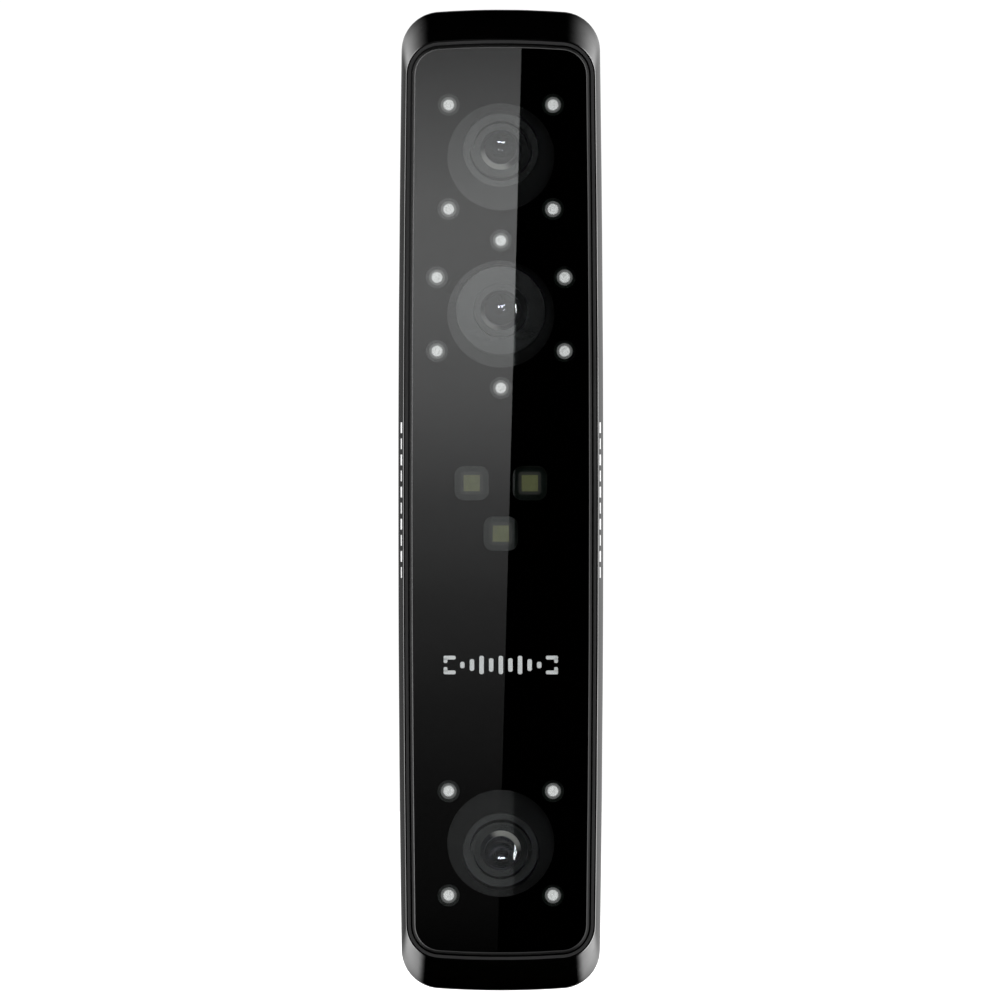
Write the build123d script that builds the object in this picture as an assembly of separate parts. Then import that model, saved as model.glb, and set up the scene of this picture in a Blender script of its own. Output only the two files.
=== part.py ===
"""Handheld structured-light scanner: a slim upright body with a flat glass front and a waisted back.

Row frame, in millimetres: +Z runs up the long axis, the glass front faces -Y, +X is to the right when
the front is looked at, and the origin is the centre of the overall box. Every separate piece is
written to parts/NODE.step. Three cameras, three pattern projectors and fourteen lamps sit behind one
printed window, on an aluminium bench. The key panel is on the back and the cable socket in the
lower end.
"""

import math
import os

from build123d import *

# ---------------------------------------------------------------- overall size and outer form
LENGTH = 220.0
WIDTH = 46.0
DEPTH = 55.0
FRONT_Y = -DEPTH / 2
BACK_Y = DEPTH / 2
WIDEST_Y = -2.0  # depth at which the outline is largest
REACH_Y = 32.0  # the lofted form runs past the back, which is then cut to its curve
RIM_Y = FRONT_Y + 0.2  # front rim of the front shell, just behind the trim frame
SIDE_BOW_R = 6900.0  # the long sides and the ends of the outline bow gently outwards
END_BOW_R = 200.0
WIDE_CORNER_R = 8.8
RIM_NARROWING = 1.13  # how much smaller the rim's half width and half length are
RIM_SHORTENING = 6.7
RIM_CORNER_CUT = 1.05
FLARE_POWER = 1.7
REACH_NARROWING = 2.8
REACH_SHORTENING = 6.0
REACH_CORNER_GAIN = 1.0
LOFT_STEPS = 3
WAIST_Y = 14.0  # the back is hollowed to here at mid length
BULGE_Z = 80.0  # and swells to BACK_Y here, above and below
BULGE_R = 60.0
BACK_EDGE_R = 8.0
WALL = 2.2
SEAM_Y = -5.0  # parting plane of the two shells
SEAM_GAP = 0.15
TONGUE = 1.5
TONGUE_INSET = 1.1

# ---------------------------------------------------------------- window stack, front to back
POCKET_INSET = 0.14
RIM_CHAMFER = 0.1
FRAME_INSET = 0.42
FRAME_WIDTH = 0.64
GLASS_INSET = 1.46
GLASS_Y = FRONT_Y + 0.3
GLASS_THICK = 1.1
GLASS_BEVEL = 0.62
GLASS_BEVEL_DEPTH = 0.4
MASK_BOND = 0.02  # clear bonding layer between the glass and its printed film
MASK_THICK = 0.1
GASKET_THICK = 0.5
GASKET_WIDTH = 1.5
LEDGE_THICK = 1.5
LEDGE_HALF_W = 18.2
LEDGE_HALF_L = 93.5
MASK_FRONT_Y = GLASS_Y + GLASS_THICK + MASK_BOND
MASK_Y = MASK_FRONT_Y + MASK_THICK  # back of the printed mask, where the optical axes start
LEDGE_Y = MASK_Y + GASKET_THICK
LEDGE_BACK_Y = LEDGE_Y + LEDGE_THICK

# ---------------------------------------------------------------- optics layout
UPPER_Z = 76.8
MIDDLE_Z = 41.6
LOWER_Z = -76.8
STEREO_TILT = 11.0  # degrees; all three cameras look at a point about 0.4 m in front
COLOUR_TILT = 6.0
SIGHT_HOLE_R = 12.0
LAMP_CIRCLE_R = 16.5
LAMP_HOLE_R = 2.5
PROJECTOR_SPOTS = ((-6.5, 3.8), (6.5, 3.8), (0.0, -7.5))
PROJECTOR_HOLE = 7.75
PROJECTOR_HOLE_R = 2.2

# name: (height of its sight hole, tilt, lens mount radius, front pocket radius)
CAMERAS = {
    "upper": (UPPER_Z, STEREO_TILT, 8.35, 7.0),
    "middle": (MIDDLE_Z, COLOUR_TILT, 9.9, 6.1),
    "lower": (LOWER_Z, -STEREO_TILT, 8.35, 7.0),
}

# distances along a camera's own axis, from the back of the mask
MOUNT_FRONT = 8.2
MOUNT_POCKET_END = 12.5
FLANGE_FRONT = 16.6
FLANGE_BACK = 20.0
SENSOR_CAVITY = 18.4
PAD_FRONT = 13.4
CAMERA_BOARD_THICK = 1.2
CAMERA_SQUARE = 21.0
CAMERA_SCREW_AT = 8.6
BARREL_FRONT = 8.7
BARREL_BACK = 17.2
BARREL_R = 6.0
LENS_R = 3.65
NOSE_R = 4.55
NOSE_DEPTH = 2.0
STOP_FRONT = 13.4  # the aperture stop, a thin wall with a small hole
STOP_BACK = 13.9
STOP_R = 1.7

# ---------------------------------------------------------------- boards, bench, small screws
LAMP_BOARD_BACK_Y = -20.95
BOARD_THICK = 1.2
LAMP_BOARD_W = 33.4
LAMP_BOARD_H = 30.0
ROUND_BOARD_R = 18.2
BAFFLE_R = 13.1
BAFFLE_BORE_R = 12.4
BAFFLE_FRONT_Y = -25.85
BAFFLE_BACK_Y = -15.1
BAFFLE_FLOOR = 1.2
LAMP_SCREW_X = {"upper": 14.8, "middle": 15.2, "lower": 14.8}
BENCH_Y = -15.0
BENCH_THICK = 2.5
BENCH_BACK_Y = BENCH_Y + BENCH_THICK
BENCH_HALF_W = 17.3
BENCH_HALF_L = 93.0
TONGUE_HALF_W = 8.0
TONGUE_HALF_L = 101.5
RIB_THICK = 2.0
RIB_BACK_Y = -5.5
RIB_HALF_L = 88.0
BENCH_SCREWS = [(x, z) for x in (-4.5, 4.5) for z in (-98.0, 98.0)]
M16_R = 0.8  # M1.6 shank, its head, and the holes it passes and bites
M16_HEAD_R = 1.5
M16_HEAD = 0.9
M16_CLEAR_R = 0.9
M16_PILOT_R = 0.85
M25_R = 1.2  # the same for M2.5
M25_HEAD_R = 2.3
M25_CLEAR_R = 1.5
M25_PILOT_R = 1.25
PROJECTOR_BOARD_W = 30.0
PROJECTOR_BOARD_H = 27.0
PROJECTOR_BOARD_Z = -1.5
PROJECTOR_SCREWS = [(x, PROJECTOR_BOARD_Z + z) for x in (-12.8, 12.8) for z in (-11.3, 11.3)]

# ---------------------------------------------------------------- main board
MAIN_Y = 2.0
MAIN_THICK = 1.6
MAIN_BACK_Y = MAIN_Y + MAIN_THICK
MAIN_HALF_W = 15.2
MAIN_TOP_Z = 64.0
MAIN_BOTTOM_Z = -62.5
STANDOFFS = [(x, z) for x in (-11.5, 11.5) for z in (60.0, 16.0, -52.0)]
CPU_Z = -4.0
CONNECTOR_H = 1.5

# ---------------------------------------------------------------- key panel
PANEL_Z = 10.0
PANEL_HALF_W = 11.0
PANEL_HALF_L = 26.0
PANEL_SINK = 0.15
PANEL_BACK = 1.6
PANEL_GAP = 0.12
PANEL_LEDGE = 1.5
KEY_TRAVEL = 0.5
KEY_PROUD = 0.8
KEY_GAP = 0.15
KEY_EDGE_R = 0.5
DISH_R = 30.0  # the finger dish in the scan key
DISH_DEPTH = 0.55
KEY_FLANGE = (1.75, 2.55)  # how deep the retaining flange of a key lies under the back surface
# name: (height, radius, radius of its flange)
KEYS = {"scan": (PANEL_Z, 6.5, 6.9), "plus": (28.0, 4.2, 5.0), "minus": (-8.0, 4.2, 5.0)}
RING_R = 7.55
RING_FLANGE_R = 8.6
RING_LEG_AT = 8.0
KEY_BOARD_Y = 8.6
KEY_BOARD_BACK_Y = 9.6
KEY_BOARD_HALF_W = 8.6
KEY_BOARD_HALF_L = 24.0
SWITCH_SIDE = 5.2
SWITCH_BACK_Y = 10.9
PLUNGER_Y = 10.4
PLUNGER_TOP_Y = 11.5
PLUNGER_R = 0.9
KEY_POSTS = [(x, PANEL_Z + z) for x in (-7.0, 7.0) for z in (-11.2, 11.2)]

# ---------------------------------------------------------------- case screws and cable socket
CASE_SCREWS = [(x, z) for x in (-13.0, 13.0) for z in (-97.5, 97.5)]
CASE_BOSS_R = 3.0
CASE_COLUMN_R = 4.1
CASE_SEAT_Y = 8.0
CASE_BORE_R = 3.0
CASE_SCREW_TIP_Y = -16.0
PLUG_BOTTOM_Y = 19.0
SOCKET_Y = 8.5
SOCKET_POCKET_Z = -107.2
SOCKET_POCKET_R = 8.1
SOCKET_FLANGE_R = 8.0
SOCKET_FLANGE_Z = -108.5
SOCKET_TUBE_R = 6.5
SOCKET_BORE_R = 5.2
SOCKET_BORE_END_Z = -100.7
INSERT_R = 4.9
SOCKET_BACK_Z = -96.5
SOCKET_SEAL = 0.5
SOCKET_BOSS_R = 9.6
SOCKET_WALL_Z = -104.4
NUT_THICK = 2.2
NUT_ACROSS_R = 8.6

LABEL_Z = -76.0
LABEL_W = 22.0
LABEL_H = 15.0


# ---------------------------------------------------------------- drawing helpers
def front_plane(y):
    """Sketch plane across the depth at y: sketch x is +X, sketch y is +Z, and its normal is -Y."""
    return Plane(origin=(0, y, 0), x_dir=(1, 0, 0), z_dir=(0, -1, 0))


def slab(sketch, y_front, y_back):
    """A front-view sketch made solid between two depths."""
    return extrude(front_plane(y_back) * sketch, y_back - y_front)


def rod(x, z, radius, y_front, y_back):
    """A round bar along the depth."""
    return slab(Pos(x, z) * Circle(radius), y_front, y_back)


def block(x, z, width, height, y_front, y_back, corner=0.0):
    """A rectangular bar along the depth, centred on x and z, with optional corner radius."""
    shape = RectangleRounded(width, height, corner) if corner else Rectangle(width, height)
    return slab(Pos(x, z) * shape, y_front, y_back)


def drum(radius, start, end):
    """A round bar along the local axis of a tilted or turned frame."""
    return Pos(0, 0, start) * Cylinder(radius, end - start, align=(Align.CENTER, Align.CENTER, Align.MIN))


def tile(side, start, end, corner=0.0):
    """A square bar along the local axis."""
    shape = RectangleRounded(side, side, corner) if corner else Rectangle(side, side)
    return Pos(0, 0, start) * extrude(shape, end - start)


def camera_frame(name):
    """Frame of one camera: origin in its sight hole, local Z back along its line of sight."""
    height, tilt, _, _ = CAMERAS[name]
    angle = math.radians(tilt)
    return Plane(
        origin=(0, MASK_Y, height), x_dir=(1, 0, 0), z_dir=(0, math.cos(angle), math.sin(angle))
    )


def lamp_spots(name):
    """Front-view places of the lamps round one camera: four on a square, or six on a hexagon."""
    count, turn = (6, 90.0) if name == "middle" else (4, 45.0)
    centre = CAMERAS[name][0]
    angles = [math.radians(turn + 360.0 * i / count) for i in range(count)]
    return [(LAMP_CIRCLE_R * math.cos(a), centre + LAMP_CIRCLE_R * math.sin(a)) for a in angles]


def union(shapes):
    """All shapes joined into one."""
    shapes = list(shapes)
    result = shapes[0]
    for shape in shapes[1:]:
        result = result + shape
    return result


def bowed_outline(half_w, half_l, corner, inset=0.0):
    """Front-view outline of eight tangent arcs, shrunk inwards by inset."""
    side = (half_w - SIDE_BOW_R, 0.0)
    end = (0.0, half_l - END_BOW_R)
    reach_side = SIDE_BOW_R - corner
    reach_end = END_BOW_R - corner
    apart = math.hypot(side[0], end[1])
    along = (reach_side**2 - reach_end**2 + apart**2) / (2 * apart)
    across = math.sqrt(reach_side**2 - along**2)
    dx = -side[0] / apart
    dy = end[1] / apart
    centres = [(side[0] + along * dx - s * across * dy, along * dy + s * across * dx) for s in (-1, 1)]
    centre = max(centres, key=sum)

    def towards(start):
        span = math.dist(start, centre)
        return ((centre[0] - start[0]) / span, (centre[1] - start[1]) / span)

    def on_corner(direction):
        size = math.hypot(*direction)
        radius = corner - inset
        return (centre[0] + direction[0] / size * radius, centre[1] + direction[1] / size * radius)

    to_side = towards(side)
    to_end = towards(end)
    a = on_corner(to_side)
    b = on_corner((to_side[0] + to_end[0], to_side[1] + to_end[1]))
    c = on_corner(to_end)
    right = (half_w - inset, 0.0)
    top = (0.0, half_l - inset)

    def flip(point, sx, sy):
        return (point[0] * sx, point[1] * sy)

    arcs = []
    for sx, sy in ((1, 1), (-1, 1), (-1, -1), (1, -1)):
        corner_arc = [flip(p, sx, sy) for p in (a, b, c)]
        if sx == sy:
            arcs.append(ThreePointArc(*corner_arc))
            arcs.append(ThreePointArc(corner_arc[2], flip(top, 1, sy), flip(c, -sx, sy)))
        else:
            arcs.append(ThreePointArc(*reversed(corner_arc)))
            arcs.append(ThreePointArc(corner_arc[0], flip(right, sx, 1), flip(a, sx, -sy)))
    return make_face(arcs)


def form_section(y):
    """Half width, half length and corner radius of the outer form at depth y."""
    if y <= WIDEST_Y:
        share = ((WIDEST_Y - y) / (WIDEST_Y - RIM_Y)) ** FLARE_POWER
        changes = (-RIM_NARROWING, -RIM_SHORTENING, -RIM_CORNER_CUT)
    else:
        share = ((y - WIDEST_Y) / (REACH_Y - WIDEST_Y)) ** 2
        changes = (-REACH_NARROWING, -REACH_SHORTENING, REACH_CORNER_GAIN)
    full = (WIDTH / 2, LENGTH / 2, WIDE_CORNER_R)
    return tuple(size + share * change for size, change in zip(full, changes))


def rim_outline(inset):
    """Outline of the front rim, shrunk by inset, on which the whole window stack is drawn."""
    return bowed_outline(*form_section(RIM_Y), inset=inset)


def back_region(inset):
    """Everything in front of the waisted back surface, which lies inset deep inside the real one."""
    hollow = BACK_Y - WAIST_Y
    centres_apart = (hollow**2 + BULGE_Z**2) / (2 * hollow)
    waist_r = centres_apart - BULGE_R + inset
    bulge_r = BULGE_R - inset
    waist_centre = WAIST_Y + centres_apart - BULGE_R
    bulge_centre = BACK_Y - BULGE_R
    slope_y = (bulge_centre - waist_centre) / centres_apart
    slope_z = BULGE_Z / centres_apart
    join = (waist_centre + slope_y * waist_r, slope_z * waist_r)
    far_z = LENGTH / 2 + 15.0
    far_angle = math.asin((far_z - BULGE_Z) / bulge_r)
    middle_angle = (far_angle + math.atan2(-slope_z, -slope_y)) / 2
    bulge = [
        (bulge_centre + bulge_r * math.cos(a), BULGE_Z + bulge_r * math.sin(a))
        for a in (middle_angle, far_angle)
    ]
    far_front = -2 * DEPTH
    edges = [
        ThreePointArc((join[0], -join[1]), (waist_centre - waist_r, 0.0), join),
        ThreePointArc(join, bulge[0], bulge[1]),
        Line(bulge[1], (far_front, far_z)),
        Line((far_front, far_z), (far_front, -far_z)),
        Line((far_front, -far_z), (bulge[1][0], -far_z)),
        ThreePointArc((bulge[1][0], -far_z), (bulge[0][0], -bulge[0][1]), (join[0], -join[1])),
    ]
    side_plane = Plane(origin=(-WIDTH, 0, 0), x_dir=(0, 1, 0), z_dir=(1, 0, 0))
    return extrude(side_plane * make_face(edges), 2 * WIDTH)


def back_layer(outer, inner):
    """A layer that follows the back surface, from outer to inner deep under it."""
    return back_region(outer) - back_region(inner)


def surface_y(z):
    """Depth of the waisted back surface on the centre line, near mid length."""
    hollow = BACK_Y - WAIST_Y
    waist_r = (hollow**2 + BULGE_Z**2) / (2 * hollow) - BULGE_R
    return WAIST_Y + waist_r - math.sqrt(waist_r**2 - z**2)


def outer_form(inset):
    """The whole body as one solid, shrunk inwards by inset, with its back edges rounded."""
    front_depths = [RIM_Y + (WIDEST_Y - RIM_Y) * i / LOFT_STEPS for i in range(LOFT_STEPS + 1)]
    back_depths = [WIDEST_Y + (REACH_Y - WIDEST_Y) * i / LOFT_STEPS for i in range(1, LOFT_STEPS + 1)]
    sections = [
        front_plane(y) * bowed_outline(*form_section(y), inset=inset) for y in front_depths + back_depths
    ]
    form = loft(sections) & back_region(inset)
    back_faces = [f for f in form.faces() if f.normal_at(f.center()).Y > BULGE_R / 100]
    joins_z = 0.9 * BULGE_Z  # edges nearer than this, on the centre line, part two back faces
    rounded = [
        e
        for f in back_faces
        for e in f.edges()
        if abs(e.center().X) > 1.0 or abs(e.center().Z) > joins_z
    ]
    return fillet(rounded, BACK_EDGE_R - inset)


def depth_range(y_front, y_back):
    """A box over the whole body between two depths."""
    return block(0, 0, 2 * WIDTH, 2 * LENGTH, y_front, y_back)


# ---------------------------------------------------------------- the two shells
def rim_limit():
    """Room for the front shell that bevels the outer edge of its rim."""
    sections = [
        front_plane(RIM_Y) * rim_outline(RIM_CHAMFER),
        front_plane(RIM_Y + 1) * rim_outline(RIM_CHAMFER - 1),
    ]
    return loft(sections, ruled=True) + depth_range(RIM_Y + 1, SEAM_Y)


def front_shell(outside, inside, tongue_room):
    """Glossy front half: flared sides, window pocket with a ledge, and bosses for screws."""
    shell = outside & depth_range(RIM_Y - 1, SEAM_Y)
    shell = shell & rim_limit()
    shell = shell - (inside & depth_range(LEDGE_BACK_Y, SEAM_Y + 1))
    shell = shell - slab(rim_outline(POCKET_INSET), RIM_Y - 1, LEDGE_Y)
    shell = shell - block(0, 0, 2 * LEDGE_HALF_W, 2 * LEDGE_HALF_L, LEDGE_Y - 1, LEDGE_BACK_Y + 1, 4.0)
    shell = shell - (tongue_room & depth_range(SEAM_Y - TONGUE - SEAM_GAP, SEAM_Y + 1))
    for x, z in CASE_SCREWS:
        shell = shell + rod(x, z, CASE_BOSS_R, LEDGE_BACK_Y - 0.5, SEAM_Y)
        shell = shell - rod(x, z, M25_PILOT_R, CASE_SCREW_TIP_Y - 1, SEAM_Y + 1)
    for x, z in BENCH_SCREWS:
        shell = shell + rod(x, z, 2.6, LEDGE_BACK_Y - 0.5, BENCH_Y)
        shell = shell - rod(x, z, M25_PILOT_R, BENCH_Y - 6, BENCH_Y + 1)
    return shell


def socket_boss():
    """Flat inner pad in the lower end, on which the cable socket is clamped."""
    return socket_frame() * drum(SOCKET_BOSS_R, -LENGTH / 2 - 2, SOCKET_WALL_Z)


def rear_shell(outside, inside, tongue_outside):
    """Matt back half: waisted grip, key opening, screw columns and the socket boss."""
    shell = (outside - inside) & depth_range(SEAM_Y + SEAM_GAP, BACK_Y + 1)
    tongue = (tongue_outside - inside) & depth_range(SEAM_Y - TONGUE, SEAM_Y + 1)
    shell = shell + tongue
    stiffener = stadium(PANEL_HALF_W + 1.5, PANEL_HALF_L + 1.5, 0.0, BACK_Y)
    shell = shell + (stiffener & back_layer(1.0, PANEL_BACK + PANEL_LEDGE))
    columns = union(rod(x, z, CASE_COLUMN_R, SEAM_Y + SEAM_GAP, BACK_Y) for x, z in CASE_SCREWS)
    shell = shell + (columns & outside)
    shell = shell + (socket_boss() & outside)
    for x, z in CASE_SCREWS:
        shell = shell - rod(x, z, CASE_BORE_R, CASE_SEAT_Y, BACK_Y + 1)
        shell = shell - rod(x, z, M25_CLEAR_R, SEAM_Y - 1, CASE_SEAT_Y + 1)
    opening = stadium(PANEL_HALF_W + PANEL_GAP, PANEL_HALF_L + PANEL_GAP, 0.0, BACK_Y)
    shell = shell - (opening & back_layer(-2.0, PANEL_BACK))
    shell = shell - stadium(PANEL_HALF_W - PANEL_LEDGE, PANEL_HALF_L - PANEL_LEDGE, 0.0, BACK_Y)
    shell = shell - socket_frame() * drum(SOCKET_POCKET_R, -LENGTH / 2 - 5, SOCKET_POCKET_Z)
    shell = shell - socket_frame() * drum(SOCKET_TUBE_R + 0.1, -LENGTH / 2 - 5, SOCKET_WALL_Z + 1)
    label_room = block(0, LABEL_Z, LABEL_W + 0.3, LABEL_H + 0.3, SEAM_Y + 20, BACK_Y + 1, 1.65)
    return shell - (label_room & back_layer(-2.0, 0.2))


def rating_label():
    """Blank label in its shallow recess on the lower bulge of the back."""
    return block(0, LABEL_Z, LABEL_W, LABEL_H, SEAM_Y + 20, BACK_Y + 1, 1.5) & back_layer(0.03, 0.18)


# ---------------------------------------------------------------- window stack
def window_frame():
    """Thin matt trim frame round the glass."""
    ring = rim_outline(FRAME_INSET) - rim_outline(FRAME_INSET + FRAME_WIDTH)
    return slab(ring, FRONT_Y, LEDGE_Y)


def front_window():
    """Cover glass with a ground bevel all round its front edge."""
    body = slab(rim_outline(GLASS_INSET), GLASS_Y + GLASS_BEVEL_DEPTH, GLASS_Y + GLASS_THICK)
    sections = [
        front_plane(GLASS_Y + GLASS_BEVEL_DEPTH) * rim_outline(GLASS_INSET),
        front_plane(GLASS_Y) * rim_outline(GLASS_INSET + GLASS_BEVEL),
    ]
    return body + loft(sections, ruled=True)


def window_mask():
    """Black printed film behind the glass, clear where cameras, lamps and projectors look out."""
    film = rim_outline(GLASS_INSET)
    for name, (height, _, _, _) in CAMERAS.items():
        film = film - Pos(0, height) * Circle(SIGHT_HOLE_R)
        for x, z in lamp_spots(name):
            film = film - Pos(x, z) * Circle(LAMP_HOLE_R)
    for x, z in PROJECTOR_SPOTS:
        hole = RectangleRounded(PROJECTOR_HOLE, PROJECTOR_HOLE, PROJECTOR_HOLE_R)
        film = film - Pos(x, z) * hole
    return slab(film, MASK_FRONT_Y, MASK_Y)


def window_gasket():
    """Foam adhesive gasket between the window and the ledge of the front shell."""
    outer = GLASS_INSET + 0.4
    ring = rim_outline(outer) - rim_outline(outer + GASKET_WIDTH)
    return slab(ring, MASK_Y, LEDGE_Y)


# ---------------------------------------------------------------- one camera
def baffle(name):
    """Black cup that keeps lamp light out of a camera, with the flange that carries the lamp board."""
    height, _, mount_r, _ = CAMERAS[name]
    screw_x = LAMP_SCREW_X[name]
    cup = rod(0, height, BAFFLE_R, BAFFLE_FRONT_Y, BAFFLE_BACK_Y)
    cup = cup + lamp_board_blank(name, LAMP_BOARD_BACK_Y, LAMP_BOARD_BACK_Y + 1.0)
    for x in (-screw_x, screw_x):
        cup = cup + rod(x, height, 1.8, LAMP_BOARD_BACK_Y, BAFFLE_BACK_Y)
    cup = cup - rod(0, height, BAFFLE_BORE_R, BAFFLE_FRONT_Y - 1, BAFFLE_BACK_Y - BAFFLE_FLOOR)
    cup = cup - camera_frame(name) * drum(mount_r + 0.15, 0, 30)
    for x in (-screw_x, screw_x):
        cup = cup - rod(x, height, M16_CLEAR_R, LAMP_BOARD_BACK_Y - 1, BAFFLE_BACK_Y + 1)
    return cup


def camera_corners():
    """Places of the four screws of a camera, in its own frame."""
    places = (-CAMERA_SCREW_AT, CAMERA_SCREW_AT)
    return [(x, y) for x in places for y in places]


def drilled(shape, radius, start, end):
    """A camera piece, in its own frame, with the four screw holes."""
    for x, y in camera_corners():
        shape = shape - Pos(x, y) * drum(radius, start, end)
    return shape


def lens_mount(name):
    """Tube with a square flange that holds the lens in front of its sensor."""
    _, _, mount_r, pocket_r = CAMERAS[name]
    shape = drum(mount_r, MOUNT_FRONT, FLANGE_BACK) + tile(CAMERA_SQUARE, FLANGE_FRONT, FLANGE_BACK, 1.5)
    shape = shape - drum(pocket_r, MOUNT_FRONT - 1, MOUNT_POCKET_END)
    shape = shape - drum(BARREL_R + 0.1, MOUNT_FRONT, FLANGE_BACK)
    shape = shape - drum(BARREL_R + 0.6, SENSOR_CAVITY, FLANGE_BACK + 1)
    return camera_frame(name) * drilled(shape, M16_CLEAR_R, FLANGE_FRONT - 1, FLANGE_BACK + 1)


def lens_barrel(name):
    """Black lens barrel with a flared nose and an aperture stop inside."""
    bore_r = LENS_R + 0.05
    nose = Cone(NOSE_R, bore_r, NOSE_DEPTH, align=(Align.CENTER, Align.CENTER, Align.MIN))
    shape = drum(BARREL_R, BARREL_FRONT, BARREL_BACK) - Pos(0, 0, BARREL_FRONT) * nose
    shape = shape - drum(bore_r, BARREL_FRONT + 1, STOP_FRONT) - drum(bore_r, STOP_BACK, BARREL_BACK + 1)
    return camera_frame(name) * (shape - drum(STOP_R, STOP_FRONT - 1, STOP_BACK + 1))


def lens_elements(name):
    """The front and rear glass elements in one barrel."""
    front = drum(LENS_R, 10.9, 12.9) & Pos(0, 0, 10.9 + 9.0) * Sphere(9.0)
    rear = drum(LENS_R, 14.4, 16.4) & Pos(0, 0, 16.4 - 9.0) * Sphere(9.0)
    return [camera_frame(name) * front, camera_frame(name) * rear]


def lens_lock_ring(name):
    """Ring that locks the focus of a lens in the pocket of its mount."""
    ring = drum(6.9, 11.3, MOUNT_POCKET_END) - drum(BARREL_R + 0.05, 11, MOUNT_POCKET_END + 1)
    for angle in (0, 90, 180, 270):
        ring = ring - Rot(0, 0, angle) * Pos(6.9, 0, 11.3) * Box(1.0, 1.2, 1.2)
    return camera_frame(name) * ring


def camera_board(name):
    """Sensor board behind a lens mount."""
    board = tile(CAMERA_SQUARE, FLANGE_BACK, FLANGE_BACK + CAMERA_BOARD_THICK, 1.5)
    return camera_frame(name) * drilled(board, M16_CLEAR_R, FLANGE_BACK - 1, FLANGE_BACK + 3)


def image_sensor(name):
    """Image sensor chip on the front of its board."""
    return camera_frame(name) * tile(7.0, FLANGE_BACK - 0.9, FLANGE_BACK)


def connector_side(name):
    """Which way along local Y the board connector lies: towards the main board."""
    return -6.5 if name == "lower" else 6.5


def camera_connector(name):
    """Flex connector on the back of a camera board."""
    back = FLANGE_BACK + CAMERA_BOARD_THICK
    body = Pos(0, connector_side(name), back + CONNECTOR_H / 2) * Box(8.0, 2.4, CONNECTOR_H)
    return camera_frame(name) * body


def camera_screws():
    """Twelve small screws that hold the boards and mounts to the bench."""
    seat = FLANGE_BACK + CAMERA_BOARD_THICK
    screws = []
    for name in CAMERAS:
        for x, y in camera_corners():
            screw = drum(M16_R, 14.6, seat) + drum(M16_HEAD_R, seat, seat + M16_HEAD)
            recess = Pos(0, 0, seat + M16_HEAD) * (Box(1.8, 0.4, 0.9) + Box(0.4, 1.8, 0.9))
            screws.append(camera_frame(name) * Pos(x, y) * (screw - recess))
    return screws


# ---------------------------------------------------------------- lamps and projectors
def lamp_board_blank(name, y_front, y_back):
    """Outline of the lamp board round a camera: rectangular, or round for the middle one."""
    height = CAMERAS[name][0]
    if name == "middle":
        return rod(0, height, ROUND_BOARD_R, y_front, y_back)
    return block(0, height, LAMP_BOARD_W, LAMP_BOARD_H, y_front, y_back, 3.0)


def lamp_board(name):
    """Ring-shaped lamp board on the flange of its baffle."""
    height = CAMERAS[name][0]
    front = LAMP_BOARD_BACK_Y - BOARD_THICK
    board = lamp_board_blank(name, front, LAMP_BOARD_BACK_Y)
    board = board - rod(0, height, BAFFLE_R + 0.15, front - 1, LAMP_BOARD_BACK_Y + 1)
    for x in (-LAMP_SCREW_X[name], LAMP_SCREW_X[name]):
        board = board - rod(x, height, M16_CLEAR_R, front - 1, LAMP_BOARD_BACK_Y + 1)
    return board


def lamp_package(x, z):
    """Round lamp package with a conical reflector cup."""
    front = LAMP_BOARD_BACK_Y - BOARD_THICK
    cup = rod(x, z, 1.76, front - 1.2, front)
    cone = Cone(0.75, 1.4, 0.9, align=(Align.CENTER, Align.CENTER, Align.MIN))
    mouth = Plane(origin=(x, front - 0.3, z), x_dir=(1, 0, 0), z_dir=(0, -1, 0)) * cone
    return cup - mouth


def lamp_dome(x, z):
    """Clear dome that fills the cup of a lamp and stands proud of it."""
    front = LAMP_BOARD_BACK_Y - BOARD_THICK
    frame = Plane(origin=(x, front - 0.3, z), x_dir=(1, 0, 0), z_dir=(0, -1, 0))
    filling = Cone(0.72, 1.37, 0.9, align=(Align.CENTER, Align.CENTER, Align.MIN))
    cap = Pos(0, 0, 0.9) * Sphere(1.37) & drum(2.0, 0.9, 3.0)
    return frame * (filling + cap)


def light_board_screws():
    """Ten small screws through the lamp boards and the projector board into the bench."""
    front = LAMP_BOARD_BACK_Y - BOARD_THICK
    spots = [(s * LAMP_SCREW_X[n], CAMERAS[n][0]) for n in CAMERAS for s in (-1, 1)] + PROJECTOR_SCREWS
    screws = []
    for x, z in spots:
        screw = rod(x, z, M16_R, front, BENCH_Y + 2.0) + rod(x, z, M16_HEAD_R, front - M16_HEAD, front)
        slot = block(x, z, 1.8, 0.4, front - M16_HEAD - 1, front - 0.4)
        screws.append(screw - slot - block(x, z, 0.4, 1.8, front - M16_HEAD - 1, front - 0.4))
    return screws


def projector_board():
    """Board that carries the three pattern projectors."""
    front = LAMP_BOARD_BACK_Y - BOARD_THICK
    board = block(0, PROJECTOR_BOARD_Z, PROJECTOR_BOARD_W, PROJECTOR_BOARD_H, front, LAMP_BOARD_BACK_Y, 2.0)
    for x, z in PROJECTOR_SCREWS:
        board = board - rod(x, z, M16_CLEAR_R, front - 1, LAMP_BOARD_BACK_Y + 1)
    return board


def projector_package(x, z):
    """Square projector housing with a seat for its diffuser."""
    front = LAMP_BOARD_BACK_Y - BOARD_THICK
    body = block(x, z, 5.1, 5.1, front - 1.45, front, 0.8)
    return body - block(x, z, 3.7, 3.7, front - 2, front - 0.95)


def projector_diffuser(x, z):
    """Patterned diffuser tile in a projector housing."""
    front = LAMP_BOARD_BACK_Y - BOARD_THICK
    return block(x, z, 3.64, 3.64, front - 1.4, front - 0.95)


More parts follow.
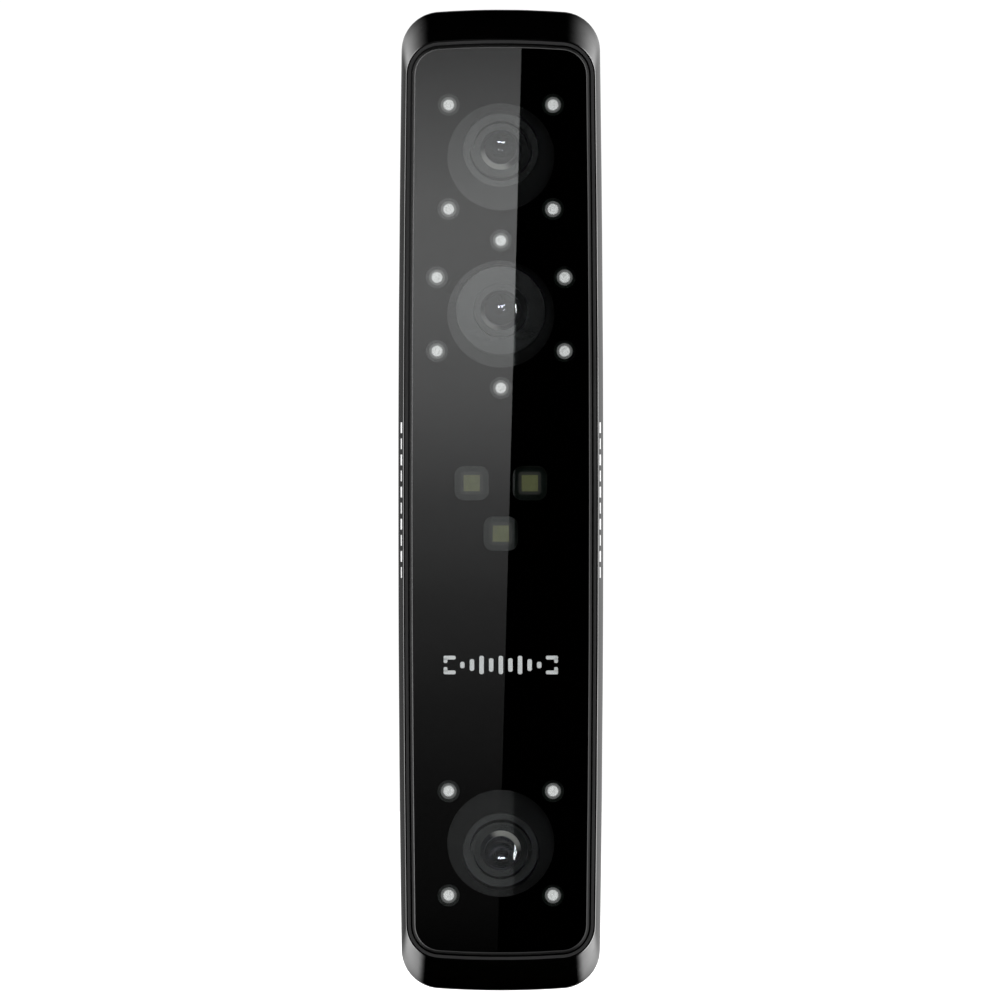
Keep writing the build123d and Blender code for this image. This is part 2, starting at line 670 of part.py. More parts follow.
def projector_heatsink():
    """Aluminium block with side fins that carries projector heat into the bench."""
    size = (PROJECTOR_BOARD_W, PROJECTOR_BOARD_H)
    sink = block(0, PROJECTOR_BOARD_Z, *size, LAMP_BOARD_BACK_Y, BENCH_Y, 2.0)
    depth = BENCH_Y - LAMP_BOARD_BACK_Y
    for step in range(3):
        y = LAMP_BOARD_BACK_Y + depth * (step + 0.75) / 3.5
        for side in (-1, 1):
            slot = block(side * 13.0, PROJECTOR_BOARD_Z, 7.0, 17.0, y, y + 0.9)
            sink = sink - slot
    for x, z in PROJECTOR_SCREWS:
        sink = sink - rod(x, z, M16_CLEAR_R, LAMP_BOARD_BACK_Y - 1, BENCH_Y + 1)
    return sink


# ---------------------------------------------------------------- bench and boards
def optical_bench():
    """Rigid aluminium frame that fixes the cameras and projectors to one another."""
    bench = block(0, 0, 2 * BENCH_HALF_W, 2 * BENCH_HALF_L, BENCH_Y, BENCH_BACK_Y, 3.0)
    bench = bench + block(0, 0, 2 * TONGUE_HALF_W, 2 * TONGUE_HALF_L, BENCH_Y, BENCH_BACK_Y, 2.0)
    for side in (-1, 1):
        rib_x = side * (BENCH_HALF_W - RIB_THICK / 2)
        bench = bench + block(rib_x, 0, RIB_THICK, 2 * RIB_HALF_L, BENCH_BACK_Y - 0.5, RIB_BACK_Y)
    for name, (_, _, mount_r, _) in CAMERAS.items():
        bench = bench + camera_frame(name) * tile(CAMERA_SQUARE, PAD_FRONT, FLANGE_FRONT)
        bench = bench - camera_frame(name) * drum(mount_r + 0.3, 5, 30)
        bench = bench - camera_frame(name) * drilled_pins()
    for z in (-29.0, -49.0):
        bench = bench - block(0, z, 22.0, 14.0, BENCH_Y - 1, BENCH_BACK_Y + 1, 3.0)
    for x, z in BENCH_SCREWS:
        bench = bench - rod(x, z, M25_PILOT_R + 0.15, BENCH_Y - 1, BENCH_BACK_Y + 1)
    for x, z in STANDOFFS:
        bench = bench - rod(x, z, M16_PILOT_R, BENCH_BACK_Y - 1.5, BENCH_BACK_Y + 1)
    spots = [(s * LAMP_SCREW_X[n], CAMERAS[n][0]) for n in CAMERAS for s in (-1, 1)] + PROJECTOR_SCREWS
    for x, z in spots:
        bench = bench - rod(x, z, M16_PILOT_R, BENCH_Y - 1, BENCH_Y + 2.1)
    return bench


def drilled_pins():
    """The four pilot holes of a camera pad, as solid pins, in the camera's own frame."""
    return union(Pos(x, y) * drum(M16_PILOT_R, 14.4, FLANGE_FRONT + 1) for x, y in camera_corners())


def bench_screws():
    """Four screws that hold the bench tongues to the front shell."""
    head_top = BENCH_BACK_Y + 1.6
    screws = []
    for x, z in BENCH_SCREWS:
        screw = rod(x, z, M25_R, BENCH_Y - 5.5, BENCH_BACK_Y)
        screw = screw + rod(x, z, M25_HEAD_R - 0.1, BENCH_BACK_Y, head_top)
        for width, height in ((2.6, 0.6), (0.6, 2.6)):
            screw = screw - block(x, z, width, height, head_top - 0.9, head_top + 1)
        screws.append(screw)
    return screws


def board_standoffs():
    """Hexagonal spacers between the bench and the main board."""
    spacers = []
    for x, z in STANDOFFS:
        spacer = slab(Pos(x, z) * RegularPolygon(2.6, 6), BENCH_BACK_Y, MAIN_Y)
        spacer = spacer + rod(x, z, M16_R, BENCH_BACK_Y - 1.4, BENCH_BACK_Y)
        spacers.append(spacer - rod(x, z, M16_PILOT_R, MAIN_Y - 4, MAIN_Y + 1))
    return spacers


def main_board():
    """Main processing board, behind the bench."""
    height = MAIN_TOP_Z - MAIN_BOTTOM_Z
    centre = (MAIN_TOP_Z + MAIN_BOTTOM_Z) / 2
    board = block(0, centre, 2 * MAIN_HALF_W, height, MAIN_Y, MAIN_BACK_Y, 2.0)
    for x, z in STANDOFFS:
        board = board - rod(x, z, M16_CLEAR_R, MAIN_Y - 1, MAIN_BACK_Y + 1)
    return board


def main_chips():
    """Processor, memories, motion sensor and power parts on the two faces of the main board."""
    front = [(0, CPU_Z, 13.0, 13.0, 1.5), (-8.0, -20.0, 8.0, 10.0, 1.1), (8.0, -20.0, 8.0, 10.0, 1.1)]
    back = [(-8.0, 40.0, 7.0, 7.0, 1.0), (7.5, 42.0, 5.0, 5.0, 1.0), (-9.5, -10.0, 6.5, 6.5, 2.6)]
    back = back + [(9.5, -12.0, 6.5, 6.5, 2.6), (0.0, 28.0, 3.0, 3.0, 0.9), (6.0, 8.0, 6.0, 6.0, 1.0)]
    chips = [block(x, z, w, h, MAIN_Y - t, MAIN_Y) for x, z, w, h, t in front]
    return chips + [block(x, z, w, h, MAIN_BACK_Y, MAIN_BACK_Y + t) for x, z, w, h, t in back]


def shield_can():
    """Pressed metal can over the radio-frequency parts."""
    can = block(0, -41.0, 22.0, 17.0, MAIN_BACK_Y, MAIN_BACK_Y + 2.0, 1.0)
    can = can - block(0, -41.0, 21.4, 16.4, MAIN_BACK_Y - 1, MAIN_BACK_Y + 1.7, 0.7)
    for x in (-8, -4, 0, 4, 8):
        for z in (-46, -36):
            can = can - rod(x, z, 0.6, MAIN_BACK_Y + 1, MAIN_BACK_Y + 3)
    return can


def board_connectors():
    """Connectors on the main board for the flexes and the power harness."""
    back = MAIN_BACK_Y + CONNECTOR_H
    parts = [block(0, z, 10.0, 3.6, MAIN_BACK_Y, back) for z in (58.8, -58.8, -26.0)]
    parts.append(block(0, 26.5, 10.0, 3.6, MAIN_Y - CONNECTOR_H, MAIN_Y))
    parts.append(block(-7.0, -36.0, 8.0, 3.6, MAIN_Y - CONNECTOR_H, MAIN_Y))
    parts.append(block(9.2, -59.0, 6.5, 4.0, MAIN_BACK_Y, MAIN_BACK_Y + 3.2))
    return parts


def heat_bridge():
    """Aluminium block from the processor to the bench."""
    return block(0, CPU_Z, 13.0, 15.0, BENCH_BACK_Y, MAIN_Y - 2.0, 1.0)


def thermal_pad():
    """Soft pad between the processor and the heat bridge."""
    return block(0, CPU_Z, 12.0, 12.0, MAIN_Y - 2.0, MAIN_Y - 1.5)


def board_screws():
    """Six screws for the main board and four for the key board."""
    screws = []
    for x, z in STANDOFFS:
        head_top = MAIN_BACK_Y + M16_HEAD
        screw = rod(x, z, M16_R, MAIN_Y - 3.5, MAIN_BACK_Y) + rod(x, z, M16_HEAD_R, MAIN_BACK_Y, head_top)
        slot = block(x, z, 1.8, 0.4, head_top - 0.5, head_top + 1)
        screws.append(screw - slot - block(x, z, 0.4, 1.8, head_top - 0.5, head_top + 1))
    for x, z in KEY_POSTS:
        tip = KEY_BOARD_BACK_Y + 2.0
        head = rod(x, z, M16_HEAD_R, KEY_BOARD_Y - M16_HEAD, KEY_BOARD_Y)
        screws.append(rod(x, z, M16_R, KEY_BOARD_Y, tip) + head)
    return screws


# ---------------------------------------------------------------- flexes and harness
def ribbon(points, width, x=0.0, thick=0.25, bend=1.3):
    """Flat flex of one width that follows a side-view path of (y, z) points with rounded bends."""
    path = FilletPolyline(*points, radius=bend)
    side_plane = Plane(origin=(x - width / 2, 0, 0), x_dir=(0, 1, 0), z_dir=(1, 0, 0))
    return extrude(side_plane * trace(path, line_width=thick), width)


def camera_flexes():
    """Flexes from the three camera boards to the main board."""
    on_board = MAIN_BACK_Y + CONNECTOR_H + 0.2
    upper = [(-2.2, UPPER_Z - 2.05), (0.8, UPPER_Z - 2.7), (on_board, 68.5), (on_board, 57.0)]
    lower = [(y, -z) for y, z in upper]
    middle = [(-2.5, MIDDLE_Z - 4.2), (-1.0, MIDDLE_Z - 4.5), (0.3, 31.5), (0.3, 24.7)]
    return [ribbon(upper, 7.0), ribbon(lower, 7.0), ribbon(middle, 7.0, bend=1.0)]


def light_flexes():
    """Flex from the projector board to the main board, and jumpers between the light boards."""
    front = LAMP_BOARD_BACK_Y - BOARD_THICK - 0.15
    down = [(front, -11.0), (front, -19.0), (-15.0, -26.0), (-4.0, -28.5), (0.3, -32.0), (0.3, -38.0)]
    jumper_x = 7.0
    jumpers = [(54.5, 64.5), (9.0, 28.5), (-65.0, -12.0)]
    strips = [block(jumper_x, (a + b) / 2, 3.0, b - a, front - 0.1, front + 0.1) for a, b in jumpers]
    return [ribbon(down, 5.0, x=-7.0, thick=0.2)] + strips


def key_flex():
    """Flex from the key board to the main board."""
    start = KEY_BOARD_Y - 0.2
    on_board = MAIN_BACK_Y + CONNECTOR_H + 0.2
    return ribbon([(start, -6.0), (start, -17.5), (on_board, -20.5), (on_board, -27.5)], 6.0, bend=1.4)


def power_harness():
    """Sleeved wires from the cable socket to the main board."""
    route = [
        (0.0, SOCKET_Y, SOCKET_BACK_Z + 0.1),
        (0.0, SOCKET_Y + 0.1, -91.0),
        (3.0, SOCKET_Y + 1.6, -84.0),
        (7.4, SOCKET_Y + 0.2, -76.5),
        (9.2, SOCKET_Y - 3.2, -69.5),
        (9.2, SOCKET_Y - 3.2, -61.05),
    ]
    points = [Vector(*p) for p in route]
    radii = []
    for before, here, after in zip(points, points[1:], points[2:]):
        turn = math.radians((here - before).get_angle(after - here))
        shorter = min((here - before).length, (after - here).length)
        radii.append(0.45 * shorter / math.tan(turn / 2))
    path = FilletPolyline(*points, radius=radii)
    start = Plane(origin=points[0], z_dir=points[1] - points[0])
    print("harness bend radii", [round(r, 1) for r in radii], "length", round(path.length, 1))
    return sweep(start * Circle(1.4), path=path)


# ---------------------------------------------------------------- key panel
def stadium(half_w, half_l, y_front, y_back):
    """Long rounded bar along the depth, centred on the key panel."""
    return slab(Pos(0, PANEL_Z) * RectangleRounded(2 * half_w, 2 * half_l, half_w - 0.01), y_front, y_back)


def control_panel():
    """Panel let into the waist, with holes for the keys and posts for the key board."""
    panel = stadium(PANEL_HALF_W, PANEL_HALF_L, 0.0, BACK_Y) & back_layer(PANEL_SINK, PANEL_BACK)
    for x, z in KEY_POSTS:
        post = rod(x, z, 1.6, KEY_BOARD_BACK_Y, BACK_Y) & back_region(PANEL_BACK - 0.3)
        panel = panel + post - rod(x, z, M16_PILOT_R, KEY_BOARD_BACK_Y - 1, KEY_BOARD_BACK_Y + 2.2)
    for name, (z, radius, _) in KEYS.items():
        hole = RING_R + 0.05 if name == "scan" else radius + KEY_GAP
        panel = panel - rod(0, z, hole, 0.0, BACK_Y)
    return panel


def status_ring():
    """Light guide round the scan key, with four legs that reach down to the status lamps."""
    z, radius, flange_r = KEYS["scan"]
    upper = rod(0, z, RING_R, 0, BACK_Y) - rod(0, z, radius + KEY_GAP, -1, BACK_Y + 1)
    lower = rod(0, z, RING_FLANGE_R, 0, BACK_Y) - rod(0, z, flange_r + 0.1, -1, BACK_Y + 1)
    ring = (upper & back_layer(0.0, 1.7)) + (lower & back_layer(1.65, 2.45))
    for x, dz in leg_spots():
        leg = rod(x, z + dz, 0.55, KEY_BOARD_BACK_Y + 0.65, BACK_Y) & back_region(2.0)
        ring = ring + leg
    return ring


def leg_spots():
    """Places of the status lamps round the scan key, from its centre."""
    reach = RING_LEG_AT * math.sqrt(0.5)
    return [(sx * reach, sz * reach) for sx in (-1, 1) for sz in (-1, 1)]


def status_lamps():
    """Four small lamps under the legs of the status ring."""
    z = KEYS["scan"][0]
    return [block(x, z + dz, 1.0, 0.6, KEY_BOARD_BACK_Y, KEY_BOARD_BACK_Y + 0.5) for x, dz in leg_spots()]


def key_cap(name):
    """Key cap with its retaining flange, its stem and, on the scan key, a finger dish."""
    z, radius, flange_r = KEYS[name]
    cap = rod(0, z, radius, 0, BACK_Y) & back_layer(-KEY_PROUD, KEY_FLANGE[1])
    cap = fillet(cap.faces().sort_by(Axis.Y)[-1].edges(), KEY_EDGE_R)
    cap = cap + (rod(0, z, flange_r, 0, BACK_Y) & back_layer(*KEY_FLANGE))
    cap = cap + (rod(0, z, 1.5, PLUNGER_TOP_Y, BACK_Y) & back_region(1.0))
    if name == "scan":
        centre_y = surface_y(z) + KEY_PROUD - DISH_DEPTH + DISH_R
        cap = cap - Pos(0, centre_y, z) * Sphere(DISH_R)
    return cap


def switch_plunger(name):
    """Plunger of the tactile switch under a key, which moves with the key."""
    return rod(0, KEYS[name][0], PLUNGER_R, PLUNGER_Y, PLUNGER_TOP_Y)


def switch_body(name):
    """Body of the tactile switch under a key."""
    z = KEYS[name][0]
    body = block(0, z, SWITCH_SIDE, SWITCH_SIDE, KEY_BOARD_BACK_Y, SWITCH_BACK_Y, 0.5)
    return body - rod(0, z, PLUNGER_R + 0.1, KEY_BOARD_BACK_Y + 0.25, SWITCH_BACK_Y + 1)


def key_board():
    """Small board that carries the switches and status lamps."""
    board = stadium(KEY_BOARD_HALF_W, KEY_BOARD_HALF_L, KEY_BOARD_Y, KEY_BOARD_BACK_Y)
    for x, z in KEY_POSTS:
        board = board - rod(x, z, M16_CLEAR_R, KEY_BOARD_Y - 1, KEY_BOARD_BACK_Y + 1)
    return board


# ---------------------------------------------------------------- case fasteners and socket
def case_screws():
    """Four long screws that clamp the shells together from the back."""
    screws = []
    for x, z in CASE_SCREWS:
        top = CASE_SEAT_Y + 2.2
        screw = rod(x, z, M25_R, CASE_SCREW_TIP_Y, CASE_SEAT_Y) + rod(x, z, M25_HEAD_R, CASE_SEAT_Y, top)
        screws.append(screw - slab(Pos(x, z) * RegularPolygon(1.15, 6), top - 1.2, top + 1))
    return screws


def screw_plugs(outside_sunk):
    """Four soft plugs that close the screw holes flush with the back."""
    return [rod(x, z, CASE_BORE_R - 0.05, PLUG_BOTTOM_Y, BACK_Y + 1) & outside_sunk for x, z in CASE_SCREWS]


def socket_frame():
    """Frame on the axis of the cable socket, local Z up."""
    return Plane(origin=(0, SOCKET_Y, 0), x_dir=(1, 0, 0), z_dir=(0, 0, 1))


def socket_shell():
    """Metal shell of the round cable socket, flanged below and threaded for its nut."""
    flange_top = SOCKET_POCKET_Z - SOCKET_SEAL
    flange = drum(SOCKET_FLANGE_R, SOCKET_FLANGE_Z, flange_top)
    flange = chamfer(flange.edges().sort_by(Axis.Z)[0], 0.35)
    shape = flange + drum(SOCKET_TUBE_R, flange_top, SOCKET_BACK_Z)
    shape = shape - drum(SOCKET_BORE_R, SOCKET_FLANGE_Z - 1, SOCKET_BORE_END_Z)
    shape = shape - drum(INSERT_R + 0.02, SOCKET_BORE_END_Z - 1, SOCKET_BACK_Z - 1.0)
    shape = shape - drum(3.2, SOCKET_BACK_Z - 2, SOCKET_BACK_Z + 1)
    key = Pos(0, SOCKET_BORE_R, (SOCKET_FLANGE_Z + SOCKET_BORE_END_Z) / 2)
    keyway = key * Box(1.2, 1.2, SOCKET_BORE_END_Z - SOCKET_FLANGE_Z)
    return socket_frame() * (shape - keyway)


def socket_insert():
    """Insulating insert with six contact holes."""
    body = drum(INSERT_R, SOCKET_BORE_END_Z, SOCKET_BACK_Z - 1.02)
    for x, y in contact_spots():
        body = body - Pos(x, y) * drum(0.65, SOCKET_BORE_END_Z - 1, SOCKET_BACK_Z)
    return socket_frame() * body


def contact_spots():
    """Places of the six contacts on a circle."""
    return [(2.0 * math.cos(math.radians(a)), 2.0 * math.sin(math.radians(a))) for a in range(30, 390, 60)]


def socket_contacts():
    """Six hollow contacts in the insert."""
    contacts = []
    for x, y in contact_spots():
        sleeve = drum(0.62, SOCKET_BORE_END_Z + 0.2, SOCKET_BACK_Z - 0.2)
        bored = sleeve - drum(0.38, SOCKET_BORE_END_Z, SOCKET_BORE_END_Z + 3)
        contacts.append(socket_frame() * Pos(x, y) * bored)
    return contacts


def socket_nut():
    """Hexagonal nut that clamps the socket inside the lower end."""
    nut = extrude(RegularPolygon(NUT_ACROSS_R, 6), NUT_THICK)
    nut = nut - drum(SOCKET_TUBE_R + 0.03, -1, NUT_THICK + 1)
    return socket_frame() * Pos(0, 0, SOCKET_WALL_Z) * nut


def socket_seal():
    """Flat sealing ring under the flange of the socket."""
    ring = drum(SOCKET_FLANGE_R - 0.1, SOCKET_POCKET_Z - SOCKET_SEAL, SOCKET_POCKET_Z)
    return socket_frame() * (ring - drum(SOCKET_TUBE_R + 0.05, -LENGTH, 0))


# ---------------------------------------------------------------- all nodes
def build():
    """Every node of the scanner as {name: shape or list of shapes}."""
    outside = outer_form(0.0)
    inside = outer_form(WALL)
    tongue_outside = outer_form(TONGUE_INSET)
    tongue_room = outer_form(TONGUE_INSET - 0.1)
    nodes = {
        "front_shell": front_shell(outside, inside, tongue_room),
        "rear_shell": rear_shell(outside, inside, tongue_outside),
        "window_frame": window_frame(),
        "front_window": front_window(),
        "window_mask": window_mask(),
        "window_gasket": window_gasket(),
        "rating_label": rating_label(),
        "optical_bench": optical_bench(),
        "bench_screws": bench_screws(),
        "lens_lock_rings": [lens_lock_ring("upper"), lens_lock_ring("lower")],
        "lens_barrels": [lens_barrel(name) for name in CAMERAS],
        "lens_elements": [part for name in CAMERAS for part in lens_elements(name)],
        "camera_boards": [camera_board(name) for name in CAMERAS],
        "image_sensors": [image_sensor(name) for name in CAMERAS],
        "camera_screws": camera_screws(),
        "lamp_boards": [lamp_board(name) for name in CAMERAS],
        "infrared_lamps": [lamp_package(x, z) for n in ("upper", "lower") for x, z in lamp_spots(n)],
        "white_lamps": [lamp_package(x, z) for x, z in lamp_spots("middle")],
        "lamp_domes": [lamp_dome(x, z) for n in CAMERAS for x, z in lamp_spots(n)],
        "light_board_screws": light_board_screws(),
        "projector_board": projector_board(),
        "projector_housings": [projector_package(x, z) for x, z in PROJECTOR_SPOTS],
        "projector_diffusers": [projector_diffuser(x, z) for x, z in PROJECTOR_SPOTS],
        "projector_heatsink": projector_heatsink(),
        "main_board": main_board(),
        "main_chips": main_chips(),
        "shield_can": shield_can(),
        "board_connectors": board_connectors() + [camera_connector(name) for name in CAMERAS],
        "heat_bridge": heat_bridge(),
        "thermal_pad": thermal_pad(),
        "board_standoffs": board_standoffs(),
        "board_screws": board_screws(),
        "camera_flexes": camera_flexes(),
        "light_flexes": light_flexes(),
        "key_flex": key_flex(),
        "power_harness": power_harness(),
        "control_panel": control_panel(),
        "status_ring": status_ring(),
        "status_lamps": status_lamps(),
        "key_board": key_board(),
        "switch_bodies": [switch_body(name) for name in KEYS],
        "case_screws": case_screws(),
        "screw_plugs": screw_plugs(outer_form(0.1)),
        "socket_shell": socket_shell(),
        "socket_insert": socket_insert(),
        "socket_contacts": socket_contacts(),
        "socket_nut": socket_nut(),
        "socket_seal": socket_seal(),
    }
    for name in CAMERAS:
        nodes[f"{name}_baffle"] = baffle(name)
        nodes[f"{name}_lens_mount"] = lens_mount(name)
    for name in KEYS:
        nodes[f"{name}_key"] = key_cap(name)
        nodes[f"{name}_switch_plunger"] = switch_plunger(name)
    return nodes


def main():
    """Writes one STEP file per node."""
    os.makedirs("parts", exist_ok=True)
    for name, shape in build().items():
        pieces = shape if isinstance(shape, list) else [shape]
        solids = [solid for piece in pieces for solid in piece.solids()]
        export_step(Compound(children=solids), f"parts/{name}.step")


main()
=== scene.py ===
"""Looks of the handheld scanner: materials for every CAD node, small printed pieces, a plain studio.

Metres, in the row frame: the glass front faces -Y and +Z is up.
"""

import math

import bmesh
import bpy
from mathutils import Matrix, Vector


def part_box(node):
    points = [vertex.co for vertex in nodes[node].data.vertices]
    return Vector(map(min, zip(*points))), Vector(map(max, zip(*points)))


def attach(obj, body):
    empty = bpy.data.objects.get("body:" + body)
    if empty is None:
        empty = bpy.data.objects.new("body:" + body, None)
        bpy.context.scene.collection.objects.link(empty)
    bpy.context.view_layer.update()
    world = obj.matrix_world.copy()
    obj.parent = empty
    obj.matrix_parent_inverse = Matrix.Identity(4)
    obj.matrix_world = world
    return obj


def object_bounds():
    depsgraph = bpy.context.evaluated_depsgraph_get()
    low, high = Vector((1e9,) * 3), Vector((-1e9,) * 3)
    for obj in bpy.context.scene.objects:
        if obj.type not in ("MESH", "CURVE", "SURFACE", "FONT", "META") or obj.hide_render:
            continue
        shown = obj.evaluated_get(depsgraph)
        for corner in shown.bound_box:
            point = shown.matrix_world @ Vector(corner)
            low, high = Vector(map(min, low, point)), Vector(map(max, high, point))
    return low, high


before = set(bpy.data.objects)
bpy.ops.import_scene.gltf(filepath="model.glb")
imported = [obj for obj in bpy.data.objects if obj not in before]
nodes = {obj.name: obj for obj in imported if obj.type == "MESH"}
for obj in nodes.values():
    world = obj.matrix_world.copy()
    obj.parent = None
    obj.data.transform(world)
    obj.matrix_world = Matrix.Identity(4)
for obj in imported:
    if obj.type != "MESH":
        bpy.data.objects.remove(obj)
cad_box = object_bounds()

MM = 0.001
VIEW_HEIGHT = 0.22437  # height that the camera sees at the object, in metres
CAMERA_DISTANCE = 9.5
CAMERA_X = -0.00018
CAMERA_Z = 0.00002
FLOOR_GAP = 0.004
FLOOR_REACH = 6.0  # half its side

# reflection of the big soft light in the left half of the window: (height, brightness), bottom to top
WINDOW_GLOW = (
    (-0.1015, 0.001), (-0.090, 0.0027), (-0.067, 0.0044), (-0.045, 0.0091), (-0.0224, 0.0185),
    (0.0, 0.037), (0.0225, 0.071), (0.045, 0.095), (0.0674, 0.098), (0.090, 0.063), (0.1015, 0.045),
)
GLOW_EDGE = ((-0.1015, -0.00074), (0.1015, 0.00465))  # (height, x) of its sharp right edge
WINDOW_SHEEN = 3.0  # how much stronger than bare glass the coated window reflects
WINDOW_REFLECTANCE = 0.21  # what both faces of the window together send back, straight on
CARD_DISTANCE = 1.0
CARD_LEFT_X = -0.06
CARD_SCALE = 0.1  # window brightness at which the card's colour ramp is white
MARK_Z = -36.9  # height of the window's mark, millimetres, as the other mark sizes
SIDE_MARK_Z = 0.0
SIDE_MARK_Y = -21.5
SIDE_DASHES = 10
SIDE_DASH_PITCH = 3.6
SIDE_DASH_HEIGHT = 2.4
SIDE_DASH_STRIP = 0.5  # a dash is laid in strips of this depth
LABEL_MARK_Z = -76.0
# height, how many lamps lie round it, angle of the first lamp
CAMERAS = ((76.8, 4, 45), (41.6, 6, 90), (-76.8, 4, 45))
LAMP_CIRCLE_R = 16.5
CAMERA_OPENING_R = 11.95
LAMP_OPENING_R = 2.45
PROJECTORS = ((-6.5, 3.8), (6.5, 3.8), (0.0, -7.5))
PROJECTOR_OPENING = 7.6  # side of its square opening
PROJECTOR_OPENING_R = 2.15
FILM_REFLECTANCE = (0.024, 0.068)  # of each face of the clear film, at the lower and at the upper lenses
METAL_SHEEN = (0.055, 0.19)  # mirror share of the lens mounts and barrels, at the same heights
SHEEN_AIM_Z = 0.05  # height of the part of the soft light that they pick up
PRINT_RISE = 0.03
RIM_EDGE_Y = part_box("front_shell")[0][1] + 0.16 * MM  # how far back the bevel of the front rim reaches, and with it the painted rim highlight
LAMP_MOUTH_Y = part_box("infrared_lamps")[0][1]
LAMP_CUP_DEPTH = 0.9 * MM
PAINTED_ARC_FACING = (0.47, 0.56)  # how far the lens cone's wall must face the front to get the painted bright arc
PAINTED_ARC_TWIST = 0.1  # and how far the painted bright arc is turned about the lens
FLAT_FACING = 0.8  # a face that looks forward more than this counts as flat

# lights that only gloss reflects; angles are degrees away from the vertical, in front view
TOP_LIGHT_START = (17.7, 9.0)  # left, right
TOP_LIGHT_GROWTH = (38.8, 43.9)  # left, right: angle over which it grows from nothing to 1
BOTTOM_STEP = (24.5, 39.0)  # from, to
BOTTOM_STEP_LIGHT = 0.65
BOTTOM_RAMP = (30.0, 90.0)  # from, to
BOTTOM_RAMP_LIGHT = 1.5
BOTTOM_RIGHT_EXTRA = 0.15  # share by which the lower light is brighter on the right
SIDE_LIGHT_START = (62, 86)  # from, to: where the light on each side takes over
SIDE_LIGHT_NEAR = (0.065, 0.26)  # left, right: in directions almost straight back
SIDE_LIGHT_FAR = 0.8  # in directions well to the side
BEVEL_LIGHT = (2.2, 1.8)  # left, right: sideways and back, where the window's bevel reflects


# ---------------------------------------------------------------- node helpers
def put(tree, kind, inputs=None, **settings):
    """Adds a node, sets its properties, and sets or links its inputs."""
    made = tree.nodes.new(kind)
    for key, value in settings.items():
        setattr(made, key, value)
    for key, value in (inputs or {}).items():
        if isinstance(value, bpy.types.NodeSocket):
            tree.links.new(value, made.inputs[key])
        else:
            made.inputs[key].default_value = value
    return made


def maths(tree, operation, *values, clamp=False):
    """A math node's result."""
    inputs = dict(enumerate(values))
    return put(tree, "ShaderNodeMath", inputs, operation=operation, use_clamp=clamp).outputs[0]


def squared(tree, value):
    """A value times itself."""
    return maths(tree, "MULTIPLY", value, value)


def mixed_value(tree, factor, first, second):
    """Number between two numbers or sockets."""
    return put(tree, "ShaderNodeMix", {0: factor, 2: first, 3: second}).outputs[0]


def object_axis(tree, axis):
    """One coordinate of the row frame, in metres: 0, 1 or 2 for X, Y or Z."""
    coords = put(tree, "ShaderNodeTexCoord").outputs["Object"]
    return put(tree, "ShaderNodeSeparateXYZ", {0: coords}).outputs[axis]


def ramp_linear(tree, value, low, high, to_low=0.0, to_high=1.0):
    """Linear step from low to high."""
    inputs = {"Value": value, "From Min": low, "From Max": high, "To Min": to_low, "To Max": to_high}
    return put(tree, "ShaderNodeMapRange", inputs).outputs[0]


def ramp_value(tree, value, low, high, to_low=0.0, to_high=1.0):
    """Smooth step from low to high."""
    inputs = {"Value": value, "From Min": low, "From Max": high, "To Min": to_low, "To Max": to_high}
    return put(tree, "ShaderNodeMapRange", inputs, interpolation_type="SMOOTHSTEP").outputs[0]


def millimetres(tree, stretch=(1, 1, 1), turn=(0, 0, 0), origin=(0, 0, 0)):
    """Row-frame coordinates in millimetres, turned and stretched for one texture."""
    coords = put(tree, "ShaderNodeTexCoord").outputs["Object"]
    moved = put(tree, "ShaderNodeVectorMath", {0: coords, 1: origin}, operation="SUBTRACT").outputs[0]
    scale = [1000.0 * s for s in stretch]
    mapping = put(tree, "ShaderNodeMapping", {"Vector": moved, "Rotation": turn, "Scale": scale})
    return mapping.outputs[0]


def noise(tree, size, detail=2.0, rough=0.5, **place):
    """Noise from 0 to 1 with features of the given size in millimetres."""
    where = millimetres(tree, **place)
    inputs = {"Vector": where, "Scale": 1.0 / size, "Detail": detail, "Roughness": rough}
    return put(tree, "ShaderNodeTexNoise", inputs).outputs["Fac"]


def blend(tree, factor, first, second):
    """Colour between two colours or colour sockets."""
    made = put(tree, "ShaderNodeMix", data_type="RGBA")
    for index, value in ((0, factor), (6, first), (7, second)):
        if isinstance(value, bpy.types.NodeSocket):
            tree.links.new(value, made.inputs[index])
        else:
            made.inputs[index].default_value = (*value, 1.0) if index else value
    return made.outputs[2]


def shade(colour, factor):
    """A colour made darker or lighter."""
    return tuple(min(1.0, c * factor) for c in colour)


def new_material(name):
    """An empty material, its tree and its output node."""
    material = bpy.data.materials.new(name)
    material.use_nodes = True
    tree = material.node_tree
    tree.nodes.clear()
    return material, tree, tree.nodes.new("ShaderNodeOutputMaterial")


